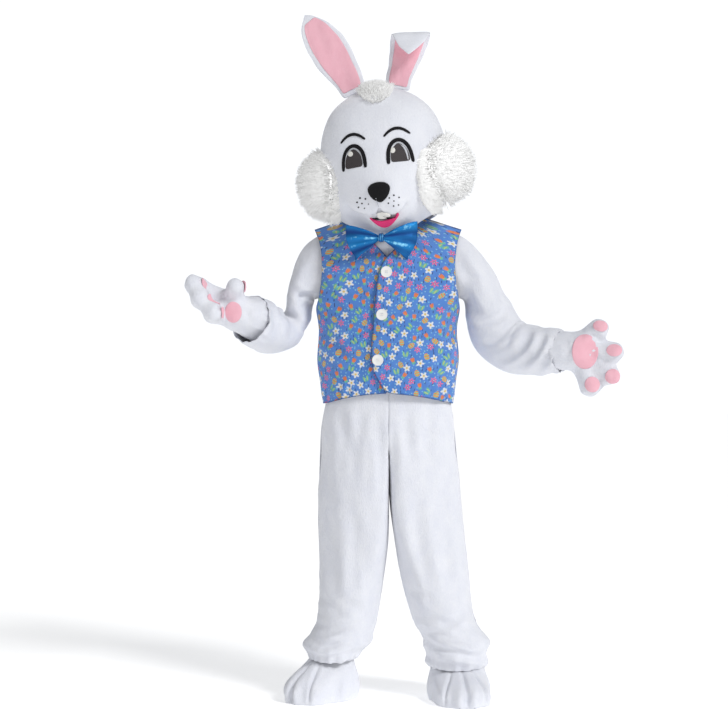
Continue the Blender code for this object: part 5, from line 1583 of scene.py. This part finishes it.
# %% Face materials
SATIN, tree, shader = plain_material("satin_stitch", (0.004, 0.004, 0.005), 0.7, Specular_IOR_Level=0.2)
place = object_place(tree)
threads = noise(tree, place, 520.0, 2.0, stretch=(1, 1, 5))
colour_between(tree, shader, threads, (0.002, 0.002, 0.003), (0.012, 0.011, 0.013))
bump(tree, shader, threads, 0.0006)
EYE_MESH, tree, shader = plain_material("eye_mesh", (0.035, 0.03, 0.032), 0.6)
place = object_place(tree)
split = tree.nodes.new("ShaderNodeSeparateXYZ")
wire(tree, place, split.inputs[0])
lines = []
for way, per_metre, weight in (("SUBTRACT", 980.0, 0.42), ("ADD", 4200.0, 0.16)):
    slant = calc(tree, "MULTIPLY", calc(tree, way, split.outputs[0], split.outputs[2]), per_metre)
    lines.append(calc(tree, "MULTIPLY", calc(tree, "SINE", slant), weight))
lines = calc(tree, "ADD", calc(tree, "ADD", *lines), 0.42, clamp=True)
colour_between(tree, shader, lines, (0.008, 0.006, 0.007), (0.075, 0.060, 0.063))
bump(tree, shader, lines, 0.0005)
EYE_PALE, tree, shader = plain_material("eye_pale", (0.55, 0.57, 0.60), 0.7)
place = object_place(tree)
grain = noise(tree, place, 700.0, 3.0)
colour_between(tree, shader, grain, (0.36, 0.37, 0.41), (0.72, 0.74, 0.78))
bump(tree, shader, grain, 0.0003)

# %% Sewn pieces that have a solid
# node, the new piece's name, material, slot and lift over the face in mm
SEWN = [
    (f"{node}_{side}", f"{node}_{side}_{kind}", material, slot, lift)
    for node, kind, material, slot, lift in (
        ("brow", "stitch", SATIN, "thread_black", 1.3),
        ("eye_band", "stitch", SATIN, "thread_black", 1.2),
        ("eye_mesh", "net", EYE_MESH, "mesh_dark", 0.5),
    )
    for side in ("left", "right")
] + [
    ("nose", "nose_cover", NOSE_FELT, "nose_black", 0.6),
    ("tooth", "tooth_felt", TOOTH_FELT, "tooth_white", 1.6),
    ("lip", "lip_felt", LIP_FELT, "tongue_pink", 0.5),
    ("mouth_dark", "mouth_felt", SATIN, "thread_black", 0.2),
]


def sewn(node, name, material, slot, lift):
    piece = piece_from(node, name)
    if node != "nose":  # the nose is padded, and keeps its solid's form
        seat_on_head(piece, 0.0002)
    push(piece, lift)
    if node == "tooth":
        soften(piece, 8)
    paint(piece, material)
    return piece


def squash(piece, share, top):
    """Makes a piece lower, from its top edge or from its bottom edge."""
    points = points_of(piece)
    level = points[:, 2].max() if top else points[:, 2].min()
    points[:, 2] = level + (points[:, 2] - level) * share
    set_points(piece, points)


face = {row[0]: sewn(*row) for row in SEWN}
squash(face["tooth"], 0.92, True)
squash(face["mouth_dark"], 0.42, False)  # a thin line of it shows between tooth and lip
print("sewn pieces:", len(face))

# %% Thin pieces laid on the face
over_face = tree_over(head, face["eye_mesh_left"], face["eye_mesh_right"], face["nose"])


def laid(name, rings, material, proud=0.7, closed=False):
    """A thin piece through rings of seen places, each a list of (column, row) pairs."""
    form = bmesh.new()
    rows = []
    for ring in rings:
        row = []
        for column, line in ring:
            place, normal = over_face.ray_cast(*sight_line(column, line))[:2]
            row.append(form.verts.new(place + normal * (proud * MM)))
        rows.append(row)
    for one, two in zip(rows, rows[1:]):
        last = len(one) if closed else len(one) - 1
        for k in range(last):
            form.faces.new((one[k], one[(k + 1) % len(one)], two[(k + 1) % len(one)], two[k]))
    if closed:
        form.faces.new(rows[-1])
    form.normal_update()
    if sum((f.normal * f.calc_area() for f in form.faces), Vector()).y > 0:
        bmesh.ops.reverse_faces(form, faces=form.faces)
    mesh = bpy.data.meshes.new(name)
    form.to_mesh(mesh)
    form.free()
    piece = linked(name, mesh)
    mesh.shade_smooth()
    subdivide(piece, 1)
    thicken(piece, 0.0012)
    paint(piece, material)
    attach(piece, "root")
    return piece


def spot(name, column, row, radius, material, slot, proud=0.7):
    turns = [2 * math.pi * k / 12 for k in range(12)]
    rings = [
        [(column + radius * part * math.cos(a), row + radius * part * math.sin(a)) for a in turns]
        for part in (1.0, 0.6, 0.25)
    ]
    return laid(name, rings, material, proud, closed=True)


def ribbon(name, line, widths, material, proud=0.6):
    line = np.array(line, float)
    way = np.gradient(line, axis=0)
    way /= np.linalg.norm(way, axis=1, keepdims=True)
    side = np.stack([-way[:, 1], way[:, 0]], axis=1)
    half = np.array(widths)[:, None] / 2
    return laid(name, [line + side * half * s for s in (-1, 0, 1)], material, proud)


CRESCENTS = {
    "left": ((391.8, 145.4), (396.2, 142.4), (401.6, 143.4), (405, 147.6), (407.2, 154.1), (408.2, 159.5)),
    "right": ((348.8, 152.4), (350.7, 149), (355.1, 147.6), (359.4, 151.2), (362.2, 157.6), (363.3, 162.8)),
}
SPOTS = {"left": (392.4, 150.3, 3.0), "right": (350.4, 154.0, 2.7)}
WHISKERS = [
    (360.0, 198.1, 1.0), (365.5, 198.9, 0.9), (357.1, 202.3, 0.9), (362, 203.5, 0.8), (368.5, 204.1, 0.6),
    (358.5, 207.3, 0.8), (364.5, 208.3, 0.6), (393.8, 195.2, 0.9), (389.3, 198, 0.8), (399, 197.4, 0.8),
    (393.9, 201, 0.7), (388.4, 203.2, 0.8), (398.5, 204.9, 0.7), (393.6, 206, 0.8),
]
NOSE_LINE = ((375.9, 198.2), (376.5, 200.5), (377.4, 203.6), (378.6, 206.6))
for side, line in CRESCENTS.items():
    ribbon(f"eye_crescent_{side}", line, (0.8, 2.4, 2.9, 2.3, 1.6, 1.0), EYE_PALE)
    spot(f"eye_spot_{side}", *SPOTS[side], TOOTH_FELT, "tooth_white", 1.2)
for k, (column, row, radius) in enumerate(WHISKERS):
    spot(f"whisker_dot_{k + 1}", column, row, radius, SATIN, "thread_black", 0.9)
ribbon("nose_stitch", NOSE_LINE, (0.5, 0.7, 0.7, 0.5), EYE_PALE, 0.8)
print("laid pieces:", 2 * len(CRESCENTS) + len(WHISKERS) + 1)
